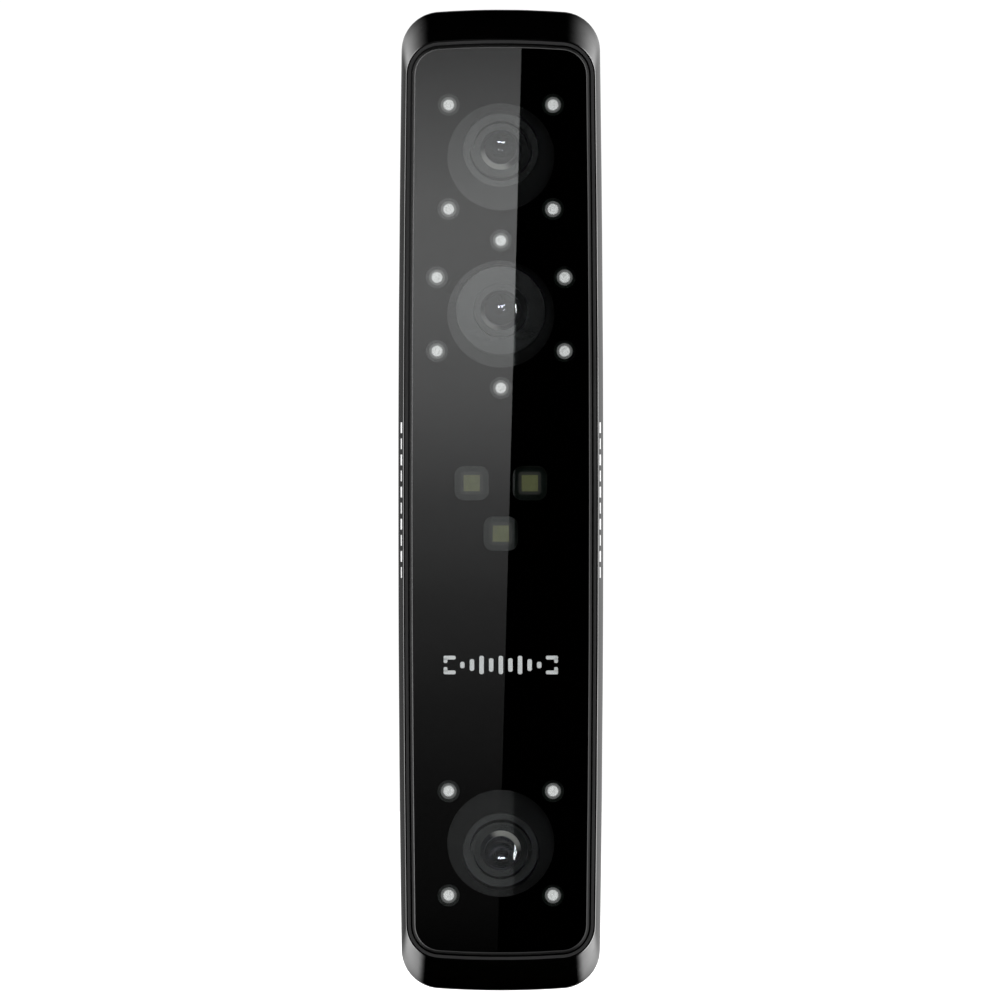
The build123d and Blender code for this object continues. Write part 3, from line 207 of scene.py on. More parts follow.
def front_casing():
    """Piano-black front shell, with a painted highlight on its rim edge down its two long sides, lighter on
    the right.
    """
    material, tree, out = new_material("front_casing")
    mixed = noise(tree, 26.0, 4.0, 0.55)
    cloud = ramp_value(tree, mixed, 0.3, 0.7)
    black = blend(tree, cloud, (0.0003, 0.0003, 0.0003), (0.0005, 0.0005, 0.0005))
    normal = put(tree, "ShaderNodeTexCoord").outputs["Normal"]
    sideways, facing, _ = put(tree, "ShaderNodeSeparateXYZ", {0: normal}).outputs
    painted_highlight_slant = maths(tree, "MULTIPLY", maths(tree, "ABSOLUTE", sideways), maths(tree, "ABSOLUTE", facing))
    painted_highlight_slant = ramp_value(tree, painted_highlight_slant, 0.25, 0.4)
    rim = maths(tree, "LESS_THAN", object_axis(tree, 1), RIM_EDGE_Y)
    # painted highlight: the rim bevel gets a bright colour, lighter on the right where the side light is
    # stronger
    right = ramp_value(tree, object_axis(tree, 0), -1.0 * MM, 1.0 * MM)
    edge = blend(tree, right, (0.23, 0.23, 0.23), (0.32, 0.32, 0.32))
    tone = blend(tree, maths(tree, "MULTIPLY", painted_highlight_slant, rim), black, edge)
    rough = ramp_value(tree, mixed, 0.25, 0.75, 0.05, 0.10)
    shader = put(tree, "ShaderNodeBsdfPrincipled", {"Base Color": tone, "Roughness": rough})
    tree.links.new(shader.outputs[0], out.inputs["Surface"])
    return material


def surface(name, colour, rough, grain, bump, patch=18.0, vary=0.25, **extra):
    """Moulded, turned or coated surface: patchy colour, fine grain in roughness and height.

    grain is the size of the texture and bump its height, both in millimetres.
    """
    material, tree, out = new_material(name)
    fine = noise(tree, grain, 3.0, 0.6)
    broad = noise(tree, patch, 4.0, 0.55)
    mixed = maths(tree, "ADD", maths(tree, "MULTIPLY", fine, 0.4), maths(tree, "MULTIPLY", broad, 0.6))
    tone = blend(tree, ramp_value(tree, mixed, 0.3, 0.7), shade(colour, 1 - vary), shade(colour, 1 + vary))
    height = put(tree, "ShaderNodeBump", {"Strength": 1.0, "Distance": bump * MM, "Height": fine})
    inputs = {
        "Base Color": tone,
        "Roughness": ramp_value(tree, mixed, 0.25, 0.75, rough[0], rough[1]),
        "Normal": height.outputs[0],
    }
    inputs.update(extra)
    shader = put(tree, "ShaderNodeBsdfPrincipled", inputs)
    tree.links.new(shader.outputs[0], out.inputs["Surface"])
    return material


# ---------------------------------------------------------------- materials
def window_glass():
    """Thin clear pane: see-through, with a coated mirror sheen and a dark satin bevel whose colour is
    painted lighter down its two long sides, as painted side light.
    """
    material, tree, out = new_material("window_glass")
    haze = noise(tree, 30.0, 3.0)
    tint = blend(tree, haze, (0.955, 0.97, 0.97), (0.98, 0.985, 0.985))
    clear = put(tree, "ShaderNodeBsdfTransparent", {"Color": tint}).outputs[0]
    mirror = put(tree, "ShaderNodeBsdfGlossy", {"Color": (1, 1, 1, 1), "Roughness": 0.0}).outputs[0]
    fresnel = put(tree, "ShaderNodeFresnel", {"IOR": 1.5}).outputs[0]
    share = maths(tree, "MULTIPLY", fresnel, WINDOW_SHEEN, clamp=True)
    pane = put(tree, "ShaderNodeMixShader", {0: share, 1: clear, 2: mirror}).outputs[0]
    normal = put(tree, "ShaderNodeTexCoord").outputs["Normal"]
    sideways, facing, _ = put(tree, "ShaderNodeSeparateXYZ", {0: normal}).outputs
    facing = maths(tree, "ABSOLUTE", facing)
    # painted light: the bevel's colour is lighter on the long sides, where side light would fall, and dark
    # at the ends
    long_edge = ramp_value(tree, maths(tree, "ABSOLUTE", sideways), 0.2, 0.5)
    painted_side_light_bevel = blend(tree, long_edge, (0.005, 0.005, 0.005), (0.03, 0.03, 0.03))
    inputs = {"Base Color": painted_side_light_bevel, "Roughness": 0.2, "Specular IOR Level": 0.8}
    ground = put(tree, "ShaderNodeBsdfPrincipled", inputs).outputs[0]
    bevel = maths(tree, "LESS_THAN", facing, 0.97)
    final = put(tree, "ShaderNodeMixShader", {0: bevel, 1: pane, 2: ground}).outputs[0]
    tree.links.new(final, out.inputs["Surface"])
    return material


def clear_dome(name, tint, reflect, rough, lit_floor=0.0, sheen=0.0):
    """Clear moulded silicone or coated glass: see-through with a tinted sheen at glancing angles.

    lit_floor is how bright its flat back looks, where it lies on a lamp's chip, and sheen its share of
    the soft light that all the pieces in the openings pick up.
    """
    material, tree, out = new_material(name)
    cloud = noise(tree, 0.8, 2.0)
    colour = blend(tree, cloud, shade(tint, 0.94), tint)
    clear = put(tree, "ShaderNodeBsdfTransparent", {"Color": colour}).outputs[0]
    mirror = put(tree, "ShaderNodeBsdfGlossy", {"Color": (*reflect, 1), "Roughness": rough}).outputs[0]
    share = put(tree, "ShaderNodeFresnel", {"IOR": 1.6}).outputs[0]
    mixed = put(tree, "ShaderNodeMixShader", {0: share, 1: clear, 2: mirror}).outputs[0]
    if sheen:
        mixed = put(tree, "ShaderNodeMixShader", {0: sheen, 1: mixed, 2: aimed_mirror(tree)}).outputs[0]
    if lit_floor:
        chip = put(tree, "ShaderNodeEmission", {"Color": (1, 1, 0.99, 1), "Strength": lit_floor}).outputs[0]
        behind = maths(tree, "GREATER_THAN", object_axis(tree, 1), LAMP_MOUTH_Y + 0.95 * LAMP_CUP_DEPTH)
        mixed = put(tree, "ShaderNodeMixShader", {0: behind, 1: mixed, 2: chip}).outputs[0]
    tree.links.new(mixed, out.inputs["Surface"])
    return material


def aimed_mirror(tree):
    """Mirror sheen of the pieces in the openings, which all pick up the same part of the soft light."""
    rise = maths(tree, "SUBTRACT", SHEEN_AIM_Z, object_axis(tree, 2))
    rise = maths(tree, "MAXIMUM", maths(tree, "DIVIDE", rise, 2.0 * CARD_DISTANCE), 0.0)
    aim = put(tree, "ShaderNodeCombineXYZ", {0: 0.0, 1: -1.0, 2: rise}).outputs[0]
    aim = put(tree, "ShaderNodeVectorMath", {0: aim}, operation="NORMALIZE").outputs[0]
    inputs = {"Color": (1, 1, 1, 1), "Roughness": 0.0, "Normal": aim}
    return put(tree, "ShaderNodeBsdfGlossy", inputs).outputs[0]


def metal_sheen(tree):
    """Mirror share of the lens mounts and barrels, which grows upwards from the lowest camera."""
    heights = [CAMERAS[index][0] * MM for index in (2, 1)]
    return ramp_linear(tree, object_axis(tree, 2), *heights, *METAL_SHEEN)


def clear_film():
    """Coated clear film over the lenses: a faint mirror, stronger at the upper ones."""
    material, tree, out = new_material("clear_film")
    colour = blend(tree, noise(tree, 4.0), (0.96, 0.97, 0.97), (0.98, 0.98, 0.98))
    clear = put(tree, "ShaderNodeBsdfTransparent", {"Color": colour}).outputs[0]
    mirror = aimed_mirror(tree)
    upper = squared(tree, ramp_linear(tree, object_axis(tree, 2), -0.09, 0.045))
    share = ramp_linear(tree, upper, 0.0, 1.0, *FILM_REFLECTANCE)
    mixed = put(tree, "ShaderNodeMixShader", {0: share, 1: clear, 2: mirror}).outputs[0]
    tree.links.new(mixed, out.inputs["Surface"])
    return material


def circuit_board():
    """Dark solder mask over fine copper tracks."""
    material, tree, out = new_material("circuit_board")
    cells = {"Vector": millimetres(tree), "Scale": 0.55, "Randomness": 1.0}
    tracks = put(tree, "ShaderNodeTexVoronoi", cells, feature="F1", distance="MANHATTAN")
    bands = maths(tree, "FRACT", maths(tree, "MULTIPLY", tracks.outputs["Distance"], 2.6))
    raised = ramp_value(tree, bands, 0.42, 0.58)
    colour = blend(tree, raised, (0.005, 0.007, 0.006), (0.009, 0.013, 0.010))
    height = put(tree, "ShaderNodeBump", {"Strength": 1.0, "Distance": 0.03 * MM, "Height": raised})
    rough = ramp_value(tree, noise(tree, 2.0), 0.3, 0.7, 0.28, 0.42)
    inputs = {"Base Color": colour, "Roughness": rough, "Normal": height.outputs[0]}
    shader = put(tree, "ShaderNodeBsdfPrincipled", inputs)
    tree.links.new(shader.outputs[0], out.inputs["Surface"])
    return material


def lamp_resin():
    """White lamp package whose cup grows brighter towards its floor, where the chip lies."""
    material, tree, out = new_material("lamp_resin")
    depth = maths(tree, "SUBTRACT", object_axis(tree, 1), LAMP_MOUTH_Y)
    inside = ramp_linear(tree, depth, 0.0, LAMP_CUP_DEPTH)
    floor = ramp_value(tree, inside, 0.9, 1.0, 0.0, 0.35)
    wall = maths(tree, "MULTIPLY_ADD", inside, 0.12, maths(tree, "MULTIPLY", noise(tree, 0.5), 0.04))
    glow = maths(tree, "ADD", maths(tree, "ADD", wall, floor), 0.08)
    tone = blend(tree, noise(tree, 0.3), (0.09, 0.09, 0.088), (0.12, 0.12, 0.117))
    inputs = {
        "Base Color": tone, "Roughness": 0.4,
        "Emission Color": (1.0, 1.0, 0.99, 1.0), "Emission Strength": glow,
    }
    shader = put(tree, "ShaderNodeBsdfPrincipled", inputs)
    tree.links.new(shader.outputs[0], out.inputs["Surface"])
    return material


def lens_barrel():
    """Black anodised lens barrel with a fine grain, and a painted highlight: a bright arc on the part of
    the nose cone's wall that faces the front most.
    """
    material, tree, out = new_material("lens_barrel")
    fine = noise(tree, 0.12, 3.0, 0.6)
    normal = put(tree, "ShaderNodeTexCoord").outputs["Normal"]
    sideways, facing, _ = put(tree, "ShaderNodeSeparateXYZ", {0: normal}).outputs
    facing = maths(tree, "ABSOLUTE", facing)
    # painted highlight: a near-white arc on the cone wall that faces the front most, turned the other way
    # at the lower lens, as if lit from the front
    twist = maths(tree, "MULTIPLY", maths(tree, "SIGN", object_axis(tree, 2)), PAINTED_ARC_TWIST)
    turned = maths(tree, "MULTIPLY_ADD", sideways, twist, facing)
    sloping = maths(tree, "LESS_THAN", facing, FLAT_FACING)
    painted_arc_highlight = maths(tree, "MULTIPLY", ramp_value(tree, turned, *PAINTED_ARC_FACING), sloping)
    black = blend(tree, fine, (0.020, 0.020, 0.020), (0.028, 0.028, 0.028))
    tone = blend(tree, painted_arc_highlight, black, (0.62, 0.60, 0.54))
    height = put(tree, "ShaderNodeBump", {"Strength": 1.0, "Distance": 0.003 * MM, "Height": fine})
    inputs = {"Base Color": tone, "Roughness": 0.42, "Normal": height.outputs[0], "Specular IOR Level": 0.3}
    shader = put(tree, "ShaderNodeBsdfPrincipled", inputs).outputs[0]
    flat = maths(tree, "GREATER_THAN", facing, FLAT_FACING)
    share = maths(tree, "MULTIPLY", flat, metal_sheen(tree))
    final = put(tree, "ShaderNodeMixShader", {0: share, 1: shader, 2: aimed_mirror(tree)}).outputs[0]
    tree.links.new(final, out.inputs["Surface"])
    return material


def lens_mount():
    """Dark satin metal whose flat front rings have a faint mirror sheen."""
    material, tree, out = new_material("mount_aluminium")
    fine = noise(tree, 0.15, 3.0, 0.6)
    tone = blend(tree, fine, (0.043, 0.043, 0.043), (0.057, 0.057, 0.057))
    rough = ramp_value(tree, fine, 0.25, 0.75, 0.36, 0.46)
    height = put(tree, "ShaderNodeBump", {"Strength": 1.0, "Distance": 0.006 * MM, "Height": fine})
    inputs = {"Base Color": tone, "Roughness": rough, "Normal": height.outputs[0], "Metallic": 0.3}
    shader = put(tree, "ShaderNodeBsdfPrincipled", inputs).outputs[0]
    normal = put(tree, "ShaderNodeTexCoord").outputs["Normal"]
    facing = maths(tree, "ABSOLUTE", put(tree, "ShaderNodeSeparateXYZ", {0: normal}).outputs[1])
    flat = maths(tree, "GREATER_THAN", facing, FLAT_FACING)
    share = maths(tree, "MULTIPLY", flat, metal_sheen(tree))
    final = put(tree, "ShaderNodeMixShader", {0: share, 1: shader, 2: aimed_mirror(tree)}).outputs[0]
    tree.links.new(final, out.inputs["Surface"])
    return material


def diffuser_film():
    """Olive micro-patterned tile: fine stripes crossed by faint rows."""
    material, tree, out = new_material("diffuser_film")
    bricks = {
        "Vector": millimetres(tree, turn=(math.pi / 2, 0, 0)),
        "Color1": (0.20, 0.21, 0.085, 1),
        "Color2": (0.17, 0.175, 0.08, 1),
        "Mortar": (0.11, 0.115, 0.055, 1),
        "Scale": 1.0, "Mortar Size": 0.03, "Brick Width": 0.6, "Row Height": 3.7,
    }
    colour = put(tree, "ShaderNodeTexBrick", bricks).outputs["Color"]
    rough = ramp_value(tree, noise(tree, 0.5), 0.3, 0.7, 0.32, 0.5)
    shader = put(tree, "ShaderNodeBsdfPrincipled", {"Base Color": colour, "Roughness": rough})
    tree.links.new(shader.outputs[0], out.inputs["Surface"])
    return material


def make_materials():
    """Every material, by name."""
    dull = {"Specular IOR Level": 0.0}
    dim = {"Specular IOR Level": 0.2}
    soft = {"Specular IOR Level": 0.35}
    metal = {"Metallic": 1.0}
    made = {
        "grip": surface("rear_casing", (0.013, 0.0132, 0.0138), (0.46, 0.6), 0.32, 0.02, vary=0.12, **soft),
        "trim": surface("trim_metal", (0.009, 0.009, 0.0092), (0.42, 0.5), 0.2, 0.004, vary=0.08),
        "mask": surface("mask_print", (0.00015, 0.00015, 0.00016), (0.6, 0.7), 0.3, 0.001, **dull),
        "foam": surface("foam", (0.012, 0.012, 0.012), (0.8, 0.95), 0.25, 0.08),
        "label": surface("label_film", (0.42, 0.43, 0.44), (0.3, 0.42), 0.5, 0.004, vary=0.05),
        "panel": surface("panel_plastic", (0.012, 0.012, 0.013), (0.2, 0.3), 0.25, 0.004),
        "key": surface("key_rubber", (0.05, 0.05, 0.053), (0.5, 0.64), 0.22, 0.012, vary=0.1),
        "guide": surface("light_guide", (0.75, 0.80, 0.82), (0.3, 0.4), 0.6, 0.004, vary=0.04),
        "bench": surface("bench_aluminium", (0.10, 0.10, 0.11), (0.38, 0.52), 0.18, 0.008, Metallic=0.8),
        "baffle": surface("baffle_plastic", (0.013, 0.013, 0.013), (0.6, 0.75), 0.3, 0.006, **dim),
        "chip": surface("chip_resin", (0.02, 0.02, 0.022), (0.45, 0.6), 0.12, 0.01),
        "connector": surface("connector_plastic", (0.62, 0.58, 0.47), (0.35, 0.5), 0.4, 0.006, vary=0.06),
        "housing": surface("projector_ceramic", (0.045, 0.045, 0.04), (0.4, 0.55), 0.2, 0.006, vary=0.1),
        "screw": surface("screw_steel", (0.42, 0.42, 0.43), (0.25, 0.38), 0.12, 0.004, **metal),
        "tin": surface("shield_tin", (0.62, 0.62, 0.60), (0.3, 0.42), 0.5, 0.004, vary=0.08, **metal),
        "pad": surface("pad_silicone", (0.30, 0.36, 0.42), (0.6, 0.75), 0.4, 0.01, vary=0.08),
        "flex": surface("flex_film", (0.42, 0.17, 0.035), (0.25, 0.36), 0.8, 0.004, vary=0.12),
        "sleeve": surface("harness_sleeve", (0.012, 0.012, 0.012), (0.45, 0.6), 0.4, 0.02),
        "nylon": surface("switch_plastic", (0.03, 0.03, 0.03), (0.45, 0.6), 0.2, 0.008),
        "plunger": surface("plunger_plastic", (0.40, 0.06, 0.035), (0.4, 0.5), 0.2, 0.008, vary=0.1),
        "plug": surface("plug_rubber", (0.016, 0.016, 0.017), (0.6, 0.72), 0.25, 0.012, vary=0.1),
        "socket": surface("socket_metal", (0.10, 0.10, 0.105), (0.22, 0.34), 0.15, 0.004, Metallic=0.9),
        "insert": surface("insert_plastic", (0.014, 0.014, 0.014), (0.4, 0.55), 0.25, 0.008),
        "gold": surface("contact_gold", (0.83, 0.6, 0.22), (0.18, 0.28), 0.1, 0.002, vary=0.06, **metal),
        "seal": surface("seal_rubber", (0.012, 0.012, 0.012), (0.55, 0.7), 0.2, 0.01),
        "label_ink": surface("label_ink", (0.02, 0.02, 0.022), (0.4, 0.5), 0.3, 0.002),
        "print": surface("white_print", (0.82, 0.82, 0.82), (0.45, 0.55), 0.15, 0.002, vary=0.03),
    }
    made["casing"] = front_casing()
    made["glass"] = window_glass()
    made["clear_film"] = clear_film()
    made["lens"] = clear_dome("lens_glass", (0.80, 0.78, 0.86), (0.85, 0.85, 1.0), 0.02, sheen=0.03)
    made["dome"] = clear_dome("lamp_silicone", (0.97, 0.97, 0.97), (1.0, 1.0, 1.0), 0.12, lit_floor=1.05)
    made["lamp"] = lamp_resin()
    made["barrel"] = lens_barrel()
    made["mount"] = lens_mount()
    made["board"] = circuit_board()
    made["film"] = diffuser_film()
    return made


WEARS = {
    "casing": ["front_shell"],
    "grip": ["rear_shell"],
    "trim": ["window_frame"],
    "glass": ["front_window"],
    "mask": ["window_mask"],
    "foam": ["window_gasket"],
    "label": ["rating_label"],
    "panel": ["control_panel"],
    "key": ["scan_key", "plus_key", "minus_key"],
    "guide": ["status_ring"],
    "bench": ["optical_bench", "heat_bridge", "projector_heatsink"],
    "mount": ["upper_lens_mount", "middle_lens_mount", "lower_lens_mount", "lens_lock_rings"],
    "barrel": ["lens_barrels"],
    "lens": ["lens_elements"],
    "baffle": ["upper_baffle", "middle_baffle", "lower_baffle"],
    "board": ["camera_boards", "lamp_boards", "projector_board", "main_board", "key_board"],
    "chip": ["main_chips", "image_sensors"],
    "connector": ["board_connectors"],
    "lamp": ["infrared_lamps", "white_lamps", "status_lamps"],
    "dome": ["lamp_domes"],
    "housing": ["projector_housings"],
    "film": ["projector_diffusers"],
    "screw": [
        "bench_screws", "camera_screws", "light_board_screws", "board_screws", "case_screws",
        "board_standoffs",
    ],
    "tin": ["shield_can"],
    "pad": ["thermal_pad"],
    "flex": ["camera_flexes", "light_flexes", "key_flex"],
    "sleeve": ["power_harness"],
    "nylon": ["switch_bodies"],
    "plunger": ["scan_switch_plunger", "plus_switch_plunger", "minus_switch_plunger"],
    "plug": ["screw_plugs"],
    "socket": ["socket_shell", "socket_nut"],
    "insert": ["socket_insert"],
    "gold": ["socket_contacts"],
    "seal": ["socket_seal"],
}


def dress(materials):
    """Gives every CAD node its material."""
    for name, wearers in WEARS.items():
        for node in wearers:
            for slot in nodes[node].material_slots:
                slot.link = "OBJECT"
                slot.material = materials[name]


# ---------------------------------------------------------------- printed pieces
def add_piece(name, vertices, faces, material, body):
    """A mesh piece that rides on a body."""
    mesh = bpy.data.meshes.new(name)
    mesh.from_pydata(vertices, [], faces)
    mesh.materials.append(material)
    shape = bmesh.new()
    shape.from_mesh(mesh)
    bmesh.ops.recalc_face_normals(shape, faces=shape.faces)
    shape.to_mesh(mesh)
    shape.free()
    piece = bpy.data.objects.new(name, mesh)
    bpy.context.scene.collection.objects.link(piece)
    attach(piece, body)
    return piece


def prisms(outlines, place_front, place_back):
    """Vertices and faces of one closed prism per outline, between two placings of its points."""
    vertices = []
    faces = []
    for outline in outlines:
        first = len(vertices)
        count = len(outline)
        vertices += [place_front(*p) for p in outline] + [place_back(*p) for p in outline]
        faces.append([first + i for i in range(count)])
        faces.append([first + count + i for i in reversed(range(count))])
        for i in range(count):
            j = (i + 1) % count
            faces.append([first + j, first + i, first + count + i, first + count + j])
    return vertices, faces


def bar(x, z, width, height):
    """Outline of a rectangle with clipped corners, in front view, millimetres."""
    clip = 0.25 * min(width, height)
    half_w = width / 2
    half_h = height / 2
    corners = []
    for sx, sz in ((1, 1), (-1, 1), (-1, -1), (1, -1)):
        pair = [(x + sx * half_w, z + sz * (half_h - clip)), (x + sx * (half_w - clip), z + sz * half_h)]
        corners += pair if sx == sz else pair[::-1]
    return corners


def cross(x, z, size, width):
    """Outline of a plus sign in front view, millimetres."""
    far = size / 2
    near = width / 2
    corners = []
    for cos, sin in ((1, 0), (0, 1), (-1, 0), (0, -1)):
        for u, v in ((far, -near), (far, near), (near, near)):
            corners.append((x + u * cos - v * sin, z + u * sin + v * cos))
    return corners


def disc(x, z, radius, count):
    """Outline of a circle in front view, millimetres."""
    angles = [2 * math.pi * i / count for i in range(count)]
    return [(x + radius * math.cos(a), z + radius * math.sin(a)) for a in angles]


def ring_parts(x, z, radius, width, count):
    """Outlines of the short straight pieces that make up a ring."""
    inner = disc(x, z, radius - width / 2, count)
    outer = disc(x, z, radius + width / 2, count)
    return [[inner[i - 1], outer[i - 1], outer[i], inner[i]] for i in range(count)]


def window_mark():
    """Generic mark on the window: viewfinder corners round a row of scan bars."""
    outlines = []
    for sx in (-1, 1):
        for sz in (-1, 1):
            outlines.append(bar(sx * 11.45, MARK_Z + sz * 1.65, 2.7, 0.85))
            outlines.append(bar(sx * 12.37, MARK_Z + sz * 0.95, 0.85, 1.0))
    heights = (1.4, 2.6, 4.1, 3.0, 4.1, 3.0, 4.1, 2.6, 1.4)
    for index, height in enumerate(heights):
        outlines.append(bar((index - 4) * 2.15, MARK_Z, 1.0, height))
    return outlines


def rounded_square(x, z, side, radius):
    """Outline of a square with rounded corners in front view, millimetres."""
    reach = side / 2 - radius
    corners = []
    for turn in range(4):
        middle = math.radians(45.0 + 90.0 * turn)
        corner_x = x + math.copysign(reach, math.cos(middle))
        corner_z = z + math.copysign(reach, math.sin(middle))
        for step in range(9):
            angle = middle + math.radians(90.0 * step / 8 - 45.0)
            corners.append((corner_x + radius * math.cos(angle), corner_z + radius * math.sin(angle)))
    return corners


def film_windows():
    """Outlines of the clear places in the printed film: over the cameras, lamps and projectors."""
    outlines = []
    for z, count, first in CAMERAS:
        outlines.append(disc(0.0, z, CAMERA_OPENING_R, 72))
        for step in range(count):
            angle = math.radians(first + 360.0 * step / count)
            x = LAMP_CIRCLE_R * math.cos(angle)
            outlines.append(disc(x, z + LAMP_CIRCLE_R * math.sin(angle), LAMP_OPENING_R, 32))
    for x, z in PROJECTORS:
        outlines.append(rounded_square(x, z, PROJECTOR_OPENING, PROJECTOR_OPENING_R))
    return outlines


def skin(node, along, x, y, z):
    """Where a ray from (x, y, z), millimetres, along a direction first meets a CAD node."""
    hit, place, normal, _ = node.ray_cast(Vector((x, y, z)) * MM, Vector(along))
    if not hit:
        raise ValueError(f"no surface of {node.name} at {x}, {y}, {z}")
    return place, normal


def laid_print(name, node_name, outlines, source, along, material, body):
    """Printed marks laid on the skin of a CAD node; source(u, v) starts a ray, in millimetres."""
    node = nodes[node_name]
    lift = Vector(along) * MM

    def place(depth):
        return lambda u, v: tuple(skin(node, along, *source(u, v))[0] - lift * depth)

    vertices, faces = prisms(outlines, place(PRINT_RISE), place(-PRINT_RISE / 2))
    return add_piece(name, vertices, faces, material, body)


def side_dashes():
    """Dashes up one side, short and long in turn, in strips that follow its curve: (height, depth)."""
    outlines = []
    for index in range(SIDE_DASHES):
        z = SIDE_MARK_Z + (index - (SIDE_DASHES - 1) / 2) * SIDE_DASH_PITCH
        low = z - SIDE_DASH_HEIGHT / 2
        high = z + SIDE_DASH_HEIGHT / 2
        strips = 9 if index % 2 else 6
        for strip in range(strips):
            near = SIDE_MARK_Y + (strip - strips / 2) * SIDE_DASH_STRIP
            far = near + SIDE_DASH_STRIP
            outlines.append([(low, near), (high, near), (high, far), (low, far)])
    return outlines


def make_prints(materials):
    """The white printed marks, on the window, on the sides and on the keys, and the film's clear places."""
    mask_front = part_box("window_mask")[0][1]
    mask_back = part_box("window_mask")[1][1]

    def flat(y):
        return lambda x, z: (x * MM, y, z * MM)

    vertices, faces = prisms(window_mark(), flat(mask_front - 0.012 * MM), flat(mask_front - 0.004 * MM))
    add_piece("window_mark", vertices, faces, materials["print"], "housing")
    vertices, faces = prisms(film_windows(), flat(mask_front + 0.02 * MM), flat(mask_back - 0.02 * MM))
    add_piece("film_windows", vertices, faces, materials["clear_film"], "housing")
    for side, name in ((-1, "left"), (1, "right")):
        laid_print(
            f"{name}_side_marks", "front_shell", side_dashes(),
            lambda u, v, side=side: (side * 40.0, v, u), (-side, 0, 0),
            materials["print"], "housing",
        )
    marks = {
        "scan": ring_parts(0.0, 10.0, 2.6, 0.55, 48) + [disc(0.0, 10.0, 0.9, 24)],
        "plus": [cross(0.0, 28.0, 3.0, 0.6)],
        "minus": [bar(0.0, -8.0, 3.0, 0.6)],
    }
    for key, outlines in marks.items():
        laid_print(
            f"{key}_key_mark", f"{key}_key", outlines,
            lambda u, v: (u, 40.0, v), (0, -1, 0), materials["print"], f"{key}_button",
        )
    lines = [bar(-2.0, LABEL_MARK_Z + 4.2 - 2.1 * i, 13.0 - 2.5 * (i % 2), 0.7) for i in range(4)]
    lines.append(bar(7.4, LABEL_MARK_Z + 1.0, 3.6, 3.6))
    laid_print(
        "label_marks", "rating_label", lines,
        lambda u, v: (u, 40.0, v), (0, -1, 0), materials["label_ink"], "housing",
    )


# ---------------------------------------------------------------- studio
def emission(name, build):
    """A light-emitting material whose strength build(tree) gives."""
    material, tree, out = new_material(name)
    shader = put(tree, "ShaderNodeEmission", {"Strength": build(tree)})
    tree.links.new(shader.outputs[0], out.inputs["Surface"])
    return material


def window_card():
    """Large graded soft light in front, which only the window and other gloss reflect."""
    grow = (CAMERA_DISTANCE + CARD_DISTANCE) / CAMERA_DISTANCE
    edge = [(x * grow, -CARD_DISTANCE, z * grow) for z, x in GLOW_EDGE]
    left = [(CARD_LEFT_X, -CARD_DISTANCE, z * grow) for z, _ in reversed(GLOW_EDGE)]
    mesh = bpy.data.meshes.new("window_card")
    mesh.from_pydata(edge + left, [], [(0, 1, 2, 3)])

    def strength(tree):
        coords = put(tree, "ShaderNodeTexCoord").outputs["Object"]
        height = put(tree, "ShaderNodeSeparateXYZ", {0: coords}).outputs[2]
        low = WINDOW_GLOW[0][0] * grow
        high = WINDOW_GLOW[-1][0] * grow
        ramp = put(tree, "ShaderNodeValToRGB", {0: ramp_linear(tree, height, low, high)})
        elements = ramp.color_ramp.elements
        for index, (z, value) in enumerate(WINDOW_GLOW):
            spot = elements[index] if index < 2 else elements.new(1.0)
            spot.position = (z * grow - low) / (high - low)
            grey = value / CARD_SCALE
            spot.color = (grey, grey, grey, 1)
        return maths(tree, "MULTIPLY", ramp.outputs[0], CARD_SCALE / WINDOW_REFLECTANCE)

    mesh.materials.append(emission("window_card", strength))
    card = bpy.data.objects.new("window_card", mesh)
    bpy.context.scene.collection.objects.link(card)
    card.visible_camera = False
    card.visible_diffuse = False
    card.visible_shadow = False
    card.visible_transmission = False


def make_floor():
    """Plain white floor just under the scanner."""
    z = cad_box[0][2] - FLOOR_GAP
    mesh = bpy.data.meshes.new("floor")
    corners = [(sx * FLOOR_REACH, sy * FLOOR_REACH, z) for sx, sy in ((-1, -1), (1, -1), (1, 1), (-1, 1))]
    mesh.from_pydata(corners, [], [(0, 1, 2, 3)])
    material, tree, out = new_material("floor")
    tone = blend(tree, noise(tree, 60.0), (0.90, 0.90, 0.90), (0.92, 0.92, 0.92))
    inputs = {
        "Base Color": tone, "Roughness": 0.9,
        "Emission Color": (1, 1, 1, 1), "Emission Strength": 0.5,
    }
    tree.links.new(put(tree, "ShaderNodeBsdfPrincipled", inputs).outputs[0], out.inputs["Surface"])
    mesh.materials.append(material)
    floor = bpy.data.objects.new("floor", mesh)
    bpy.context.scene.collection.objects.link(floor)
    floor.visible_glossy = False


